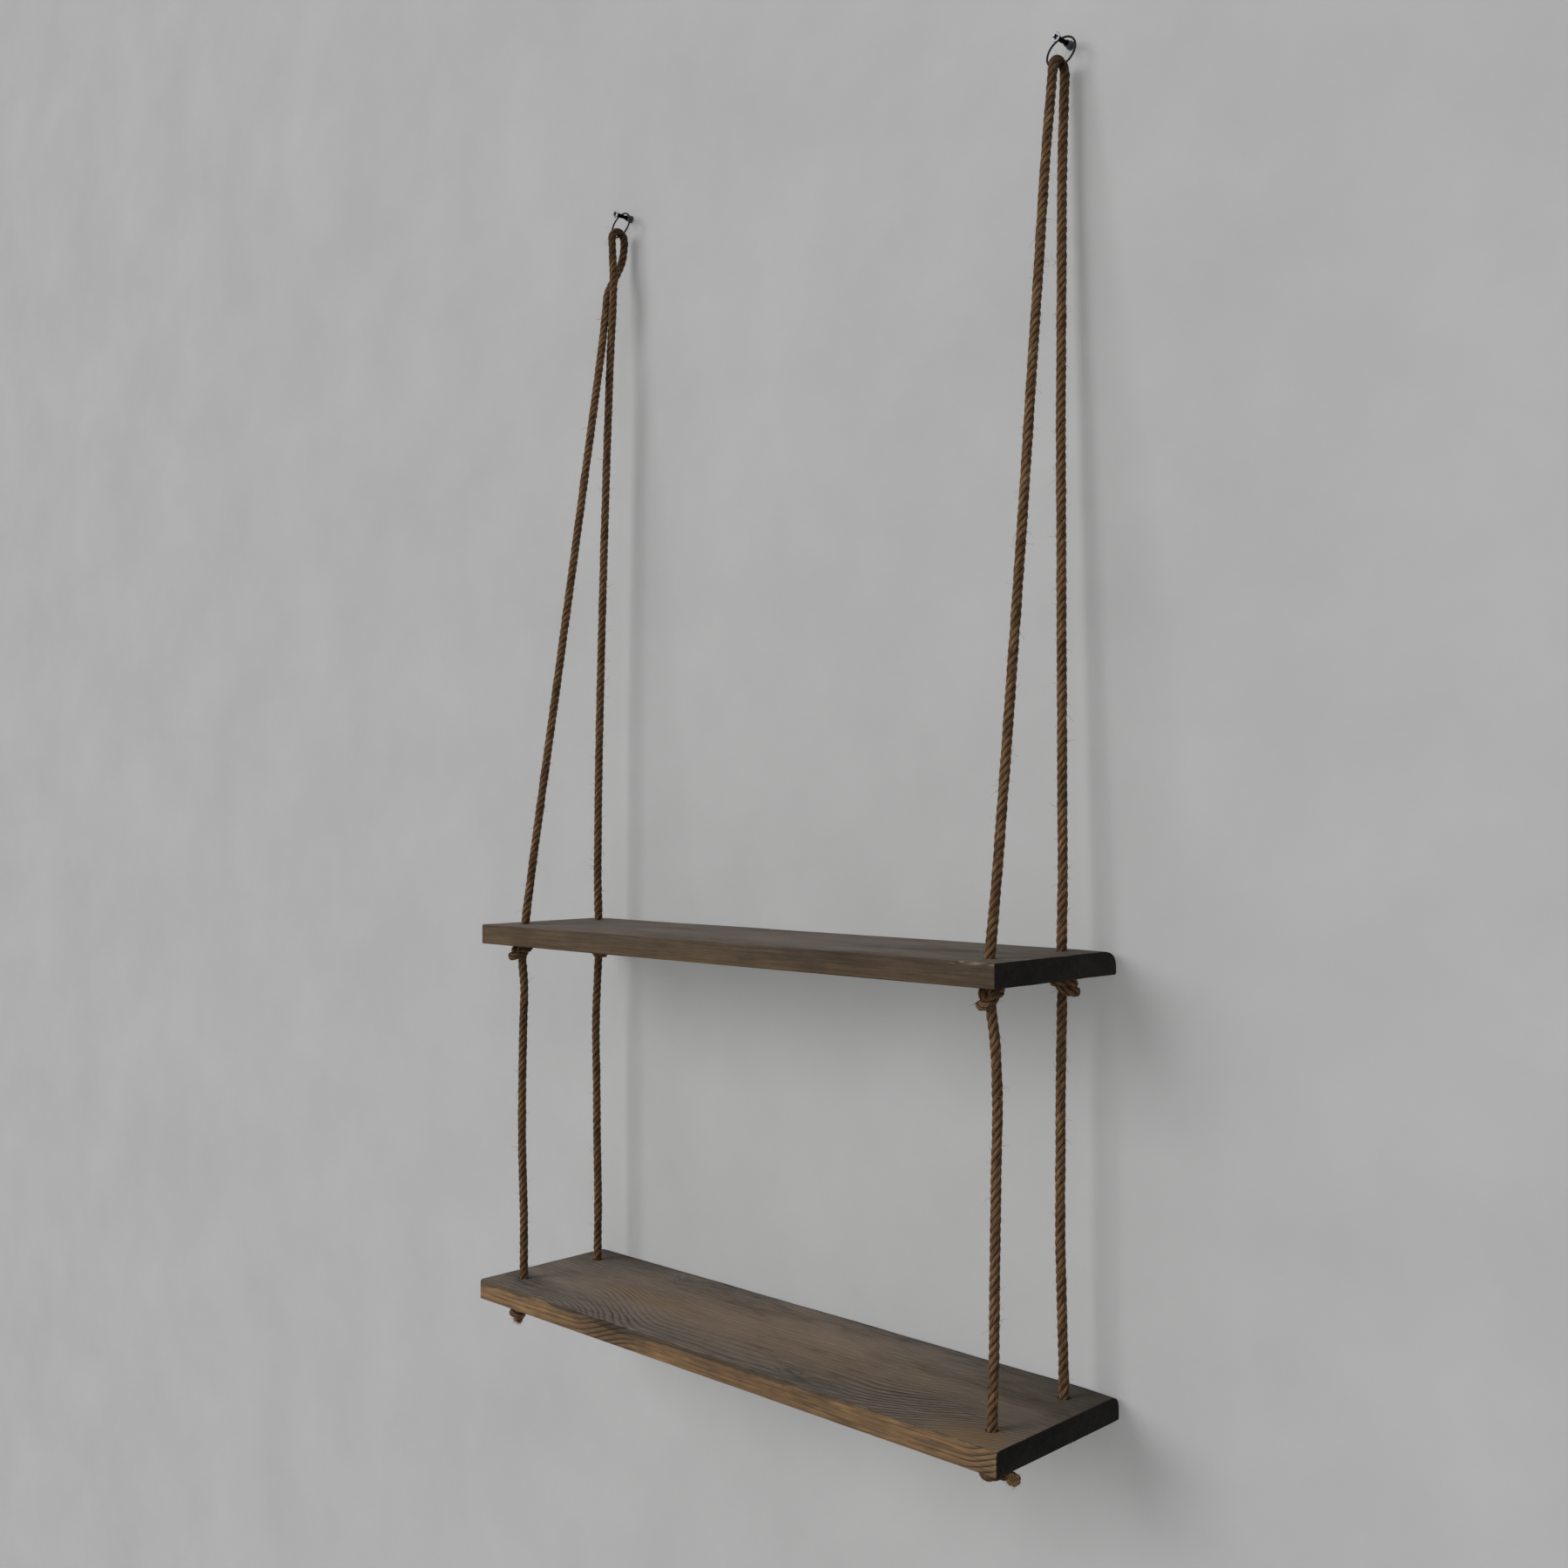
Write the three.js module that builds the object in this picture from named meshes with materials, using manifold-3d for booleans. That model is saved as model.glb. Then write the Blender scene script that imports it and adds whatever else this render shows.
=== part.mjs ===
// Hanging rope shelf: two plank shelves, one under the other, on two ropes from two wall screws.
// Millimetres. X runs along the shelves, +Y goes into the wall and +Z is up. The origin lies on
// the wall's face, midway between the two screws.
import * as THREE from 'three';
import { mergeVertices } from 'three/addons/utils/BufferGeometryUtils.js';
import Module from 'manifold-3d';

const wasm = await Module();
wasm.setup();

// Shelves
const boardLength = 800;
const boardDepth = 200;
const boardThickness = 24;
const frontEdgeRounding = 2.5;
const undersideRounding = 1.5;
const upperRearWearDepth = 17;
const upperRearWearHeight = 10;
const lowerRearWearDepth = 8;
const lowerRearWearHeight = 6;
const upperShelfDrop = 932;
const shelfSpacing = 440;

// Holes for the ropes
const holeDiameter = 11.5;
const holeInset = 36;
const frontHoleInset = 40;
const rearHoleInset = 43;
const holeSides = 16;

// Ropes
const ropeDiameter = 9.8;
const ropeSides = 8;
const bendSteps = 3;
const gapPlaces = 240;
const knotRopeDiameter = 7.9;
const knotTurnSpacing = 8.3;
const loopLegSpacing = 20.6;
const crossingSpacing = 11;
const crossingDrop = 83;
const crossingFromWall = 35.4;
const legBend = 3;

// Rings
const ringInset = 48;
const ringDiameter = 36.5;
const ringWireDiameter = 2.2;
const ringLeanDegrees = 14;
const loopFromWall = 22.5;
const ringWireSides = 8;
const ringSteps = 32;

// Screws and wall plugs
const screwHeadFromWall = 28;
const screwHeadDiameter = 10;
const screwHeadThickness = 3.4;
const screwShankDiameter = 5.2;
const screwThreadDepth = 0.5;
const screwThreadPitch = 2.6;
const screwThreadedFromWall = 16;
const screwReachIntoWall = 30;
const screwTipLength = 3;
const screwSides = 16;
const recessWidth = 5.6;
const recessSlot = 1.5;
const recessDepth = 2.2;
const plugDiameter = 8;
const plugLength = 36;
const plugBarbDepth = 0.6;
const plugBarbCount = 4;
const plugRimDiameter = 9.6;
const plugRimThickness = 3;
const plugNoseDiameter = 7.4;
const plugStandsOut = 9;

// Clearances
const seatGap = 0.3;
const plugBoreClearance = 0.3;
const cutOverrun = 2;

// What follows from the sizes above
const ropeRadius = ropeDiameter / 2;
const upperTop = -upperShelfDrop;
const lowerTop = upperTop - shelfSpacing;
const ringLean = THREE.MathUtils.degToRad(ringLeanDegrees);
const ringBendRadius = (ringDiameter - ringWireDiameter) / 2;
const ringHalfHeight = ringBendRadius * Math.cos(ringLean);
const ringCentreHeight = (screwShankDiameter + ringWireDiameter) / 2 + seatGap - ringHalfHeight;
const ringCentreFromWall = loopFromWall - ringBendRadius * Math.sin(ringLean);
const loopTopHeight = ringCentreHeight - ringHalfHeight + ringWireDiameter / 2 + seatGap + ropeRadius;
const loopRadius = loopLegSpacing / 2;

const sides = [
  { name: 'left', across: -1 },
  { name: 'right', across: 1 },
];
const rows = [
  { name: 'front', fromWall: boardDepth - frontHoleInset },
  { name: 'rear', fromWall: rearHoleInset },
];
const corners = rows.flatMap((row) => sides.map((side) => ({
  name: `${row.name}_${side.name}`,
  across: side.across,
  fromWall: row.fromWall,
})));

// Finishes
const wood = { color: 0x5f5247, roughness: 0.82, metalness: 0 };
const rope = { color: 0x5a4029, roughness: 0.95, metalness: 0 };
const blackSteel = { color: 0x2b2a2c, roughness: 0.42, metalness: 0.9 };
const zincSteel = { color: 0xc9ccd0, roughness: 0.3, metalness: 1 };
const plugPlastic = { color: 0x3c3d3f, roughness: 0.6, metalness: 0 };

const shelf = new THREE.Group();

function place(name, geometry, finish, parent = shelf) {
  const piece = new THREE.Mesh(geometry, new THREE.MeshStandardMaterial(finish));
  piece.name = name;
  parent.add(piece);
  return piece;
}

// A closed geometry as a solid that can be joined and cut.
function toSolid(geometry) {
  const bare = geometry.clone();
  bare.deleteAttribute('normal');
  bare.deleteAttribute('uv');
  const merged = mergeVertices(bare);
  const corner = merged.index.array;
  const kept = [];
  for (let i = 0; i < corner.length; i += 3) {
    const [a, b, c] = [corner[i], corner[i + 1], corner[i + 2]];
    if (a !== b && b !== c && c !== a) kept.push(a, b, c);
  }
  return new wasm.Manifold(new wasm.Mesh({
    numProp: 3,
    vertProperties: merged.attributes.position.array,
    triVerts: Uint32Array.from(kept),
  }));
}

function toGeometry(solid) {
  const mesh = solid.getMesh();
  const geometry = new THREE.BufferGeometry();
  geometry.setAttribute('position', new THREE.BufferAttribute(mesh.vertProperties, 3));
  geometry.setIndex(new THREE.BufferAttribute(mesh.triVerts, 1));
  return geometry;
}

function cut(body, ...tools) {
  return toGeometry(tools.reduce((left, tool) => left.subtract(toSolid(tool)), toSolid(body)));
}

// A profile turned about a vertical axis.
function turned(profile, turnSides) {
  const points = profile.map(([radius, height]) => new THREE.Vector2(radius, height));
  return new THREE.LatheGeometry(points, turnSides).rotateX(Math.PI / 2);
}

// A route whose steps follow its points, so a tight bend gets as many as a long straight run.
class Route extends THREE.CatmullRomCurve3 {
  getPointAt(share, target) {
    return this.getPoint(share, target);
  }

  getTangentAt(share, target) {
    return this.getTangent(share, target);
  }
}

function ropeTube(points, radius, stepsPerPoint) {
  const outline = new THREE.Shape();
  for (let side = 0; side < ropeSides; side += 1) {
    const angle = (2 * Math.PI * side) / ropeSides;
    const [x, y] = [radius * Math.cos(angle), radius * Math.sin(angle)];
    if (side === 0) outline.moveTo(x, y);
    else outline.lineTo(x, y);
  }
  outline.closePath();
  return new THREE.ExtrudeGeometry(outline, {
    steps: (points.length - 1) * stepsPerPoint,
    bevelEnabled: false,
    extrudePath: new Route(points, false, 'centripetal'),
  });
}

// Shelves: a long plank whose rear top edge is worn round, with a hole for each rope leg.
function board(top, wearDepth, wearHeight) {
  const [front, under] = [-boardDepth, -boardThickness];
  const outline = new THREE.Shape();
  outline.moveTo(front + undersideRounding, under);
  outline.lineTo(-undersideRounding, under);
  outline.quadraticCurveTo(0, under, 0, under + undersideRounding);
  outline.lineTo(0, -wearHeight);
  outline.quadraticCurveTo(0, 0, -wearDepth, 0);
  outline.lineTo(front + frontEdgeRounding, 0);
  outline.quadraticCurveTo(front, 0, front, -frontEdgeRounding);
  outline.lineTo(front, under + undersideRounding);
  outline.quadraticCurveTo(front, under, front + undersideRounding, under);
  const plank = new THREE.ExtrudeGeometry(outline, {
    depth: boardLength, bevelEnabled: false, curveSegments: 4,
  });
  const [alongX, alongY, alongZ] = [0, 1, 2].map((axis) => new THREE.Vector3().setComponent(axis, 1));
  plank.applyMatrix4(new THREE.Matrix4().makeBasis(alongY, alongZ, alongX));
  plank.translate(-boardLength / 2, 0, top);
  const drills = corners.map((corner) => {
    const mouth = holeMouth(corner, top);
    const drillLength = boardThickness + 2 * cutOverrun;
    return new THREE.CylinderGeometry(holeDiameter / 2, holeDiameter / 2, drillLength, holeSides)
      .rotateX(Math.PI / 2)
      .translate(mouth.x, mouth.y, top - boardThickness / 2);
  });
  return cut(plank, ...drills);
}

function holeMouth(corner, top) {
  const x = corner.across * (boardLength / 2 - holeInset);
  return new THREE.Vector3(x, -corner.fromWall, top);
}

// Rings: a bent steel wire closed to a hoop. It hangs on the screw and leans out from the wall, so
// that its top lies on the shank near the wall and its foot carries the rope further out.
function ring(across) {
  return new THREE.TorusGeometry(ringBendRadius, ringWireDiameter / 2, ringWireSides, ringSteps)
    .rotateX(Math.PI / 2 - ringLean)
    .translate(across * (boardLength / 2 - ringInset), -ringCentreFromWall, ringCentreHeight);
}

// Screws: a countersunk head with a cross recess, a plain neck and a coarse thread.
function screw(across) {
  const [headRadius, shankRadius] = [screwHeadDiameter / 2, screwShankDiameter / 2];
  const coreRadius = shankRadius - screwThreadDepth;
  const headFace = -screwHeadFromWall;
  const profile = [[0, headFace], [headRadius, headFace]];
  profile.push([shankRadius, headFace + screwHeadThickness]);
  profile.push([shankRadius, -screwThreadedFromWall]);
  const threadEnd = screwReachIntoWall - screwTipLength;
  const turns = Math.floor((threadEnd + screwThreadedFromWall) / screwThreadPitch);
  for (let turn = 0; turn < turns; turn += 1) {
    const start = -screwThreadedFromWall + turn * screwThreadPitch;
    profile.push([coreRadius, start + screwThreadPitch / 2], [shankRadius, start + screwThreadPitch]);
  }
  profile.push([coreRadius, threadEnd], [0, screwReachIntoWall]);
  const points = profile.map(([radius, along]) => new THREE.Vector2(radius, along));
  const blank = new THREE.LatheGeometry(points, screwSides);
  const recessCentre = headFace + recessDepth / 2 - cutOverrun / 2;
  const recessLength = recessDepth + cutOverrun;
  const flat = new THREE.BoxGeometry(recessWidth, recessLength, recessSlot).translate(0, recessCentre, 0);
  const upright = new THREE.BoxGeometry(recessSlot, recessLength, recessWidth).translate(0, recessCentre, 0);
  return cut(blank, flat, upright).translate(across * (boardLength / 2 - ringInset), 0, 0);
}

// Wall plugs: a barbed sleeve with a rim at the wall's face and a nose that stands out of it.
function wallPlug(across) {
  const boreRadius = screwShankDiameter / 2 + plugBoreClearance;
  const [outerRadius, noseRadius, rimRadius] = [plugDiameter / 2, plugNoseDiameter / 2, plugRimDiameter / 2];
  const plugEnd = plugLength - plugStandsOut;
  const barbLength = plugEnd / plugBarbCount;
  const profile = [[boreRadius, -plugStandsOut], [noseRadius, -plugStandsOut]];
  profile.push([noseRadius, -plugRimThickness], [rimRadius, -plugRimThickness], [rimRadius, 0]);
  for (let barb = 0; barb < plugBarbCount; barb += 1) {
    const start = barb * barbLength;
    profile.push([outerRadius - plugBarbDepth, start], [outerRadius, start + barbLength / 2]);
  }
  profile.push([outerRadius - plugBarbDepth, plugEnd], [boreRadius, plugEnd], [boreRadius, -plugStandsOut]);
  const points = profile.map(([radius, along]) => new THREE.Vector2(radius, along));
  return new THREE.LatheGeometry(points, screwSides)
    .translate(across * (boardLength / 2 - ringInset), 0, 0);
}

// A hanging leg's end lies above its hole's mouth, clear of the rope's bend in the mouth.
function legEnd(above, mouth) {
  const reach = ropeRadius + seatGap;
  return mouth.clone().add(above.clone().sub(mouth).setLength(reach));
}

// Each rope is doubled over its ring: half a turn in the plane across the wall.
const archTurnShares = [-1, -0.67, -0.33, 0, 0.33, 0.67, 1];

function arch(x) {
  return archTurnShares.map((share) => {
    const angle = (share * Math.PI) / 2;
    const y = -loopFromWall + loopRadius * Math.sin(angle);
    return new THREE.Vector3(x, y, loopTopHeight - loopRadius * (1 - Math.cos(angle)));
  });
}

// Places down one leg, from the arch's end to the mouth, on a line that bends a little.
const legDropShares = [0.03, 0.1, 0.35, 0.65, 0.9];
const legBendShares = [0.3, 0.55, 0.4, 0.2, 0.05];

function straightLeg(start, mouth) {
  const points = legDropShares.map((share, index) => {
    const point = start.clone().lerp(mouth, share);
    point.y -= legBend * legBendShares[index];
    return point;
  });
  return [...points, legEnd(points.at(-1), mouth)];
}

function plainLoopRoute(side) {
  const x = side.across * (boardLength / 2 - ringInset);
  const top = arch(x);
  const [front, rear] = rows.map((row) => holeMouth({ ...side, fromWall: row.fromWall }, upperTop));
  const frontLeg = straightLeg(top[0], front);
  const rearLeg = straightLeg(top.at(-1), rear);
  return [...frontLeg.reverse(), ...top, ...rearLeg];
}

// The left loop carries half a turn: its legs cross under the ring and change places. Each row
// is a drop as a share of the crossing's, a sideways share of half the crossing's spacing, and a
// share of the way from the arch's end to the crossing, or from the crossing on to the hole.
const aboveCrossingShares = [[0.22, 0.12, 0.03], [0.45, 0.4, 0.18], [0.72, 0.8, 0.56], [1, 1, 1]];
const belowCrossingShares = [[0.035, 0.86], [0.09, 0.5], [0.24, 0.1], [0.6, 0], [0.9, 0]];

function crossedLeg(archEnd, mouth, sideways) {
  const spread = (sideways * crossingSpacing) / 2;
  const crossing = new THREE.Vector3(archEnd.x, -crossingFromWall, loopTopHeight - crossingDrop);
  const above = aboveCrossingShares.map(([drop, aside, way]) => new THREE.Vector3(
    archEnd.x + spread * aside,
    THREE.MathUtils.lerp(archEnd.y, crossing.y, way),
    THREE.MathUtils.lerp(archEnd.z, crossing.z, drop),
  ));
  const below = belowCrossingShares.map(([way, aside]) => {
    const point = crossing.clone().lerp(mouth, way);
    point.x += spread * aside;
    return point;
  });
  return [...above, ...below, legEnd(below.at(-1), mouth)];
}

function crossedLoopRoute(side) {
  const x = side.across * (boardLength / 2 - ringInset);
  const top = arch(x);
  const [front, rear] = rows.map((row) => holeMouth({ ...side, fromWall: row.fromWall }, upperTop));
  const toRear = crossedLeg(top[0], rear, 1);
  const toFront = crossedLeg(top.at(-1), front, -1);
  return [...toRear.reverse(), ...top, ...toFront];
}

// Rope inside a hole. Its upper end is a round bend about the mouth, or stops short of one.
function ropeInHole(mouth, withBend) {
  const profile = [[0, -boardThickness], [ropeRadius, -boardThickness]];
  if (withBend) {
    for (let step = 0; step <= bendSteps; step += 1) {
      const angle = (step / bendSteps) * (Math.PI / 2);
      const radius = step === bendSteps ? 0 : ropeRadius * Math.cos(angle);
      profile.push([radius, ropeRadius * Math.sin(angle)]);
    }
  } else {
    profile.push([ropeRadius, -ropeRadius - seatGap], [0, -ropeRadius - seatGap]);
  }
  return turned(profile, ropeSides).translate(mouth.x, mouth.y, mouth.z);
}

// The short ball of rope that bends where a lower rope meets a knot or a mouth.
function ropeBend(centre) {
  return new THREE.SphereGeometry(ropeRadius, ropeSides, 2 * bendSteps)
    .rotateX(Math.PI / 2)
    .translate(centre.x, centre.y, centre.z);
}

// Overhand knot. Half of it, from its middle: a share of a full turn about the rope's line, and
// the reach from that line and the rise above the knot's middle as shares of the spacing of its
// turns. The other half is its mirror, turned end for end.
const knotHalfShares = [
  [0, 0.86, 0], [0.05, 1.02, 0.42], [0.14, 1.24, 0.8], [0.333, 1.3, 1], [0.52, 1.22, 0.8],
  [0.62, 1, 0.42], [0.667, 0.72, 0], [0.667, 0.42, -0.4], [0.667, 0.1, -0.85],
];
const knotCrownShare = 1.02;
const knotLeadShares = [[0, 0, -1.2]];
const knotTailShares = [
  [0.167, 0.25, -1.15], [0.167, 0.75, -1.4], [0.167, 1.3, -1.5], [0.167, 1.9, -1.45],
];
const knotHalfHeight = knotCrownShare * knotTurnSpacing + knotRopeDiameter / 2;
const knotDrop = boardThickness + seatGap + knotHalfHeight;
const bendDrop = knotDrop + knotHalfHeight + seatGap + ropeRadius;

function knotPoint([turn, reach, rise], turnShare) {
  const angle = 2 * Math.PI * (turn + turnShare);
  const out = reach * knotTurnSpacing;
  return new THREE.Vector3(out * Math.cos(angle), out * Math.sin(angle), rise * knotTurnSpacing);
}

// The rope comes down from the hole into the knot, and leaves it below or ends in a short tail.
function knotRoute(hasTail, turnShare) {
  const halfHeight = new THREE.Vector3(0, 0, knotHalfHeight);
  const upper = [...knotHalfShares, ...knotLeadShares].slice(1);
  const mirrored = upper.map(([turn, reach, rise]) => [-turn, reach, -rise]).reverse();
  const lower = [...knotHalfShares, ...(hasTail ? knotTailShares : knotLeadShares)];
  const points = [...mirrored, ...lower].map((shares) => knotPoint(shares, turnShare));
  return [halfHeight, ...points, ...(hasTail ? [] : [halfHeight.clone().negate()])];
}

function knot(mouth, hasTail, turnShare) {
  const route = knotRoute(hasTail, turnShare);
  return ropeTube(route, knotRopeDiameter / 2, 2)
    .translate(mouth.x, mouth.y, mouth.z - knotDrop);
}

// The least gap between a rope's turns or legs, measured on points along its route.
function leastGap(route, diameter) {
  const places = new Route(route, false, 'centripetal').getPoints(gapPlaces);
  let walked = 0;
  const run = places.map((place, index) => {
    walked += index === 0 ? 0 : place.distanceTo(places[index - 1]);
    return walked;
  });
  let least = Infinity;
  for (let i = 0; i < places.length; i += 1) {
    for (let j = i + 1; j < places.length; j += 1) {
      if (run[j] - run[i] > 2 * diameter) {
        least = Math.min(least, places[i].distanceTo(places[j]) - diameter);
      }
    }
  }
  return least;
}

// A lower rope hangs from a bend under its knot to a bend in the lower shelf's mouth, and leaves
// the knot a little aside. Each row: a share of the way down and a share of that step aside.
const lowerRopeShares = [[0.06, 1], [0.2, 0.75], [0.5, 0.4], [0.8, 0.1]];
const asideShares = {
  front_left: [-0.3, -0.2], front_right: [0.38, 0.37], rear_left: [0.2, 0.1], rear_right: [-0.2, 0.1],
};

function lowerRope(corner) {
  const upperBend = holeMouth(corner, upperTop - bendDrop);
  const mouth = holeMouth(corner, lowerTop);
  const [asideX, asideY] = asideShares[corner.name].map((share) => share * ropeDiameter);
  const middle = lowerRopeShares.map(([way, aside]) => {
    const point = upperBend.clone().lerp(mouth, way);
    return point.add(new THREE.Vector3(asideX * aside, asideY * aside, 0));
  });
  const points = [legEnd(middle[0], upperBend), ...middle, legEnd(middle.at(-1), mouth)];
  return ropeTube(points, ropeRadius, 3);
}

place('upper_shelf_board', board(upperTop, upperRearWearDepth, upperRearWearHeight), wood);
place('lower_shelf_board', board(lowerTop, lowerRearWearDepth, lowerRearWearHeight), wood);

for (const side of sides) {
  place(`${side.name}_ring`, ring(side.across), blackSteel);
  place(`${side.name}_screw`, screw(side.across), zincSteel);
  place(`${side.name}_wall_plug`, wallPlug(side.across), plugPlastic);
  const route = side.name === 'left' ? crossedLoopRoute(side) : plainLoopRoute(side);
  place(`${side.name}_rope_loop`, ropeTube(route, ropeRadius, 2), rope);
}

// How far each knot is turned about its rope, as a share of a full turn.
const knotTurnShares = { front_left: 0.36, front_right: -0.08, rear_left: 0.62, rear_right: 0.2 };

for (const corner of corners) {
  const upperMouth = holeMouth(corner, upperTop);
  const lowerMouth = holeMouth(corner, lowerTop);
  const turnShare = knotTurnShares[corner.name];
  place(`upper_hole_rope_${corner.name}`, ropeInHole(upperMouth, true), rope);
  place(`upper_knot_${corner.name}`, knot(upperMouth, false, turnShare), rope);
  place(`upper_rope_bend_${corner.name}`, ropeBend(holeMouth(corner, upperTop - bendDrop)), rope);
  place(`lower_rope_${corner.name}`, lowerRope(corner), rope);
  place(`lower_rope_bend_${corner.name}`, ropeBend(lowerMouth), rope);
  place(`lower_hole_rope_${corner.name}`, ropeInHole(lowerMouth, false), rope);
  place(`lower_knot_${corner.name}`, knot(lowerMouth, true, turnShare), rope);
}

const knotGap = Math.min(...[false, true].map(
  (hasTail) => leastGap(knotRoute(hasTail, 0), knotRopeDiameter),
));
const loopGap = leastGap(crossedLoopRoute(sides[0]), ropeDiameter);
console.log(`least gap between a knot's turns: ${knotGap.toFixed(2)} mm`);
console.log(`least gap between the crossed legs: ${loopGap.toFixed(2)} mm`);

export default shelf;
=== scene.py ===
import logging
import math
from dataclasses import dataclass, field
from enum import Enum
from functools import partial
from typing import Callable, Iterable, Sequence

import bmesh
import bpy
import numpy as np
from bpy.types import Material, Node, NodeOutputs, NodeSocket, NodeTree, Object
from mathutils import Matrix, Vector, noise


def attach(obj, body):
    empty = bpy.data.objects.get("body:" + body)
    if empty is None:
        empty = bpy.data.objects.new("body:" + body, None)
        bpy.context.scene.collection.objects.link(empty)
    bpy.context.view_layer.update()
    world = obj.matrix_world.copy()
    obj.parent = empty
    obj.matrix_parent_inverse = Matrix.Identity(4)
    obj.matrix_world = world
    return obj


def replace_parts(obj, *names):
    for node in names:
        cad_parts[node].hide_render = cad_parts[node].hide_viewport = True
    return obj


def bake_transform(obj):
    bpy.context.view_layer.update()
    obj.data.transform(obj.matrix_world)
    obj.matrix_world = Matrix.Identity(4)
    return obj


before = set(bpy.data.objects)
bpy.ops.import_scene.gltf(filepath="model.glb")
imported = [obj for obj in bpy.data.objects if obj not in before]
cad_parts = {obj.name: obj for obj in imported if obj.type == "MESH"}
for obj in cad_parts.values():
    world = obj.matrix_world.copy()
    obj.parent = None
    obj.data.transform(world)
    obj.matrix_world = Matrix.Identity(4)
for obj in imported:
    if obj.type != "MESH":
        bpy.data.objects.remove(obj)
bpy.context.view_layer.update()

log = logging.getLogger("hanging_rope_shelf")

Point = tuple[float, float, float]
Shares = tuple[tuple[float, float], ...]
Source = Node | NodeSocket | float
# How far apart a rope's places lie, and the shortest span that a curve is worked out over, in metres.
ROUTE_STEP = 0.0015
LEAST_SPAN = 1e-6
# Where each corner's random draws start, in the order of CORNERS.
CORNER_SEEDS = (20, 30, 40, 50)


class Side(Enum):
    """The two ropes, with the sign of their place along the shelves."""

    LEFT = -1
    RIGHT = 1


class Row(Enum):
    """The two rows of rope holes."""

    FRONT = "front"
    REAR = "rear"


@dataclass(frozen=True)
class Corner:
    """One of the four rope holes of a shelf."""

    row: Row
    side: Side

    @property
    def name(self) -> str:
        """The ending of the names of the pieces at this corner."""
        return f"{self.row.value}_{self.side.name.lower()}"


CORNERS = [Corner(row, side) for row in Row for side in Side]


def linear(hex_colour: str) -> tuple[float, float, float, float]:
    """Turn an sRGB colour into the linear one that a shader socket holds.

    Args:
        hex_colour: six hex digits, such as "5a4029".

    Returns:
        Red, green, blue and an alpha of 1.
    """
    shares = [int(hex_colour[i:i + 2], 16) / 255 for i in (0, 2, 4)]
    return (*(s / 12.92 if s <= 0.04045 else ((s + 0.055) / 1.055) ** 2.4 for s in shares), 1.0)


def feed(tree: NodeTree, node: Node, links: dict) -> None:
    """Give a node's inputs their values and links.

    Args:
        tree: the node's tree.
        node: the node.
        links: input name or index to a value, a socket, or a node whose first live output is meant.
    """
    for key, value in links.items():
        if isinstance(key, int):
            socket = node.inputs[key]
        else:
            socket = next(s for s in node.inputs if s.enabled and s.name == key)
        if isinstance(value, Node):
            value = next(s for s in value.outputs if s.enabled)
        if isinstance(value, NodeSocket):
            tree.links.new(value, socket)
        else:
            socket.default_value = value


def add_node(tree: NodeTree, kind: str, links: dict | None = None, **settings) -> Node:
    """Add a node to a tree, with its settings, values and links.

    Args:
        tree: a shader or geometry tree.
        kind: the node's type.
        links: what its inputs are fed.
        settings: properties of the node.

    Returns:
        The node.
    """
    node = tree.nodes.new(kind)
    for name, value in settings.items():
        setattr(node, name, value)
    feed(tree, node, links or {})
    return node


def new_material(name: str) -> tuple[Material, NodeTree, Node]:
    """Make a material that holds one Principled shader.

    Args:
        name: the material's name.

    Returns:
        The material, its tree and its Principled node.
    """
    material = bpy.data.materials.new(name)
    material.use_nodes = True
    tree = material.node_tree
    return material, tree, tree.nodes["Principled BSDF"]


def colour_ramp(tree: NodeTree, factor: Source, stops: Sequence[tuple[float, str]]) -> NodeSocket:
    """Colour a value by a row of stops.

    Args:
        tree: the shader tree.
        factor: the node or socket to colour.
        stops: places from 0 to 1, each with its hex colour.

    Returns:
        The ramp's colour socket.
    """
    ramp = add_node(tree, "ShaderNodeValToRGB", {"Fac": factor})
    elements = ramp.color_ramp.elements
    while len(elements) < len(stops):
        elements.new(0.5)
    for element, (place, colour) in zip(elements, stops):
        element.position = place
        element.color = linear(colour)
    return ramp.outputs["Color"]


def mesh_object(name: str, vertices: Iterable, faces: Iterable) -> Object:
    """Make a mesh object at the origin from its points and faces.

    Args:
        name: the piece's name.
        vertices: points in metres.
        faces: rows of point numbers.

    Returns:
        The linked object.
    """
    mesh = bpy.data.meshes.new(name)
    mesh.from_pydata([tuple(v) for v in vertices], [], [tuple(f) for f in faces])
    mesh.validate()
    piece = bpy.data.objects.new(name, mesh)
    bpy.context.scene.collection.objects.link(piece)
    return piece


def skin_rings(name: str, rings: np.ndarray, closed: bool = False) -> Object:
    """Join a row of equal rings of points into a closed skin.

    Args:
        name: the piece's name.
        rings: an array of rings, points and coordinates, in metres.
        closed: True where the last ring joins the first, and no end needs a cap.

    Returns:
        The linked object, its faces pointing out.
    """
    count, around = rings.shape[:2]
    faces = []
    for i in range(count if closed else count - 1):
        a, b = i * around, ((i + 1) % count) * around
        faces += [(a + j, a + (j + 1) % around, b + (j + 1) % around, b + j) for j in range(around)]
    if not closed:
        faces += [tuple(range(around))[::-1], tuple((count - 1) * around + j for j in range(around))]
    piece = mesh_object(name, rings.reshape(-1, 3), faces)
    tidy = bmesh.new()
    tidy.from_mesh(piece.data)
    bmesh.ops.recalc_face_normals(tidy, faces=tidy.faces)
    tidy.to_mesh(piece.data)
    tidy.free()
    return piece


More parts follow.
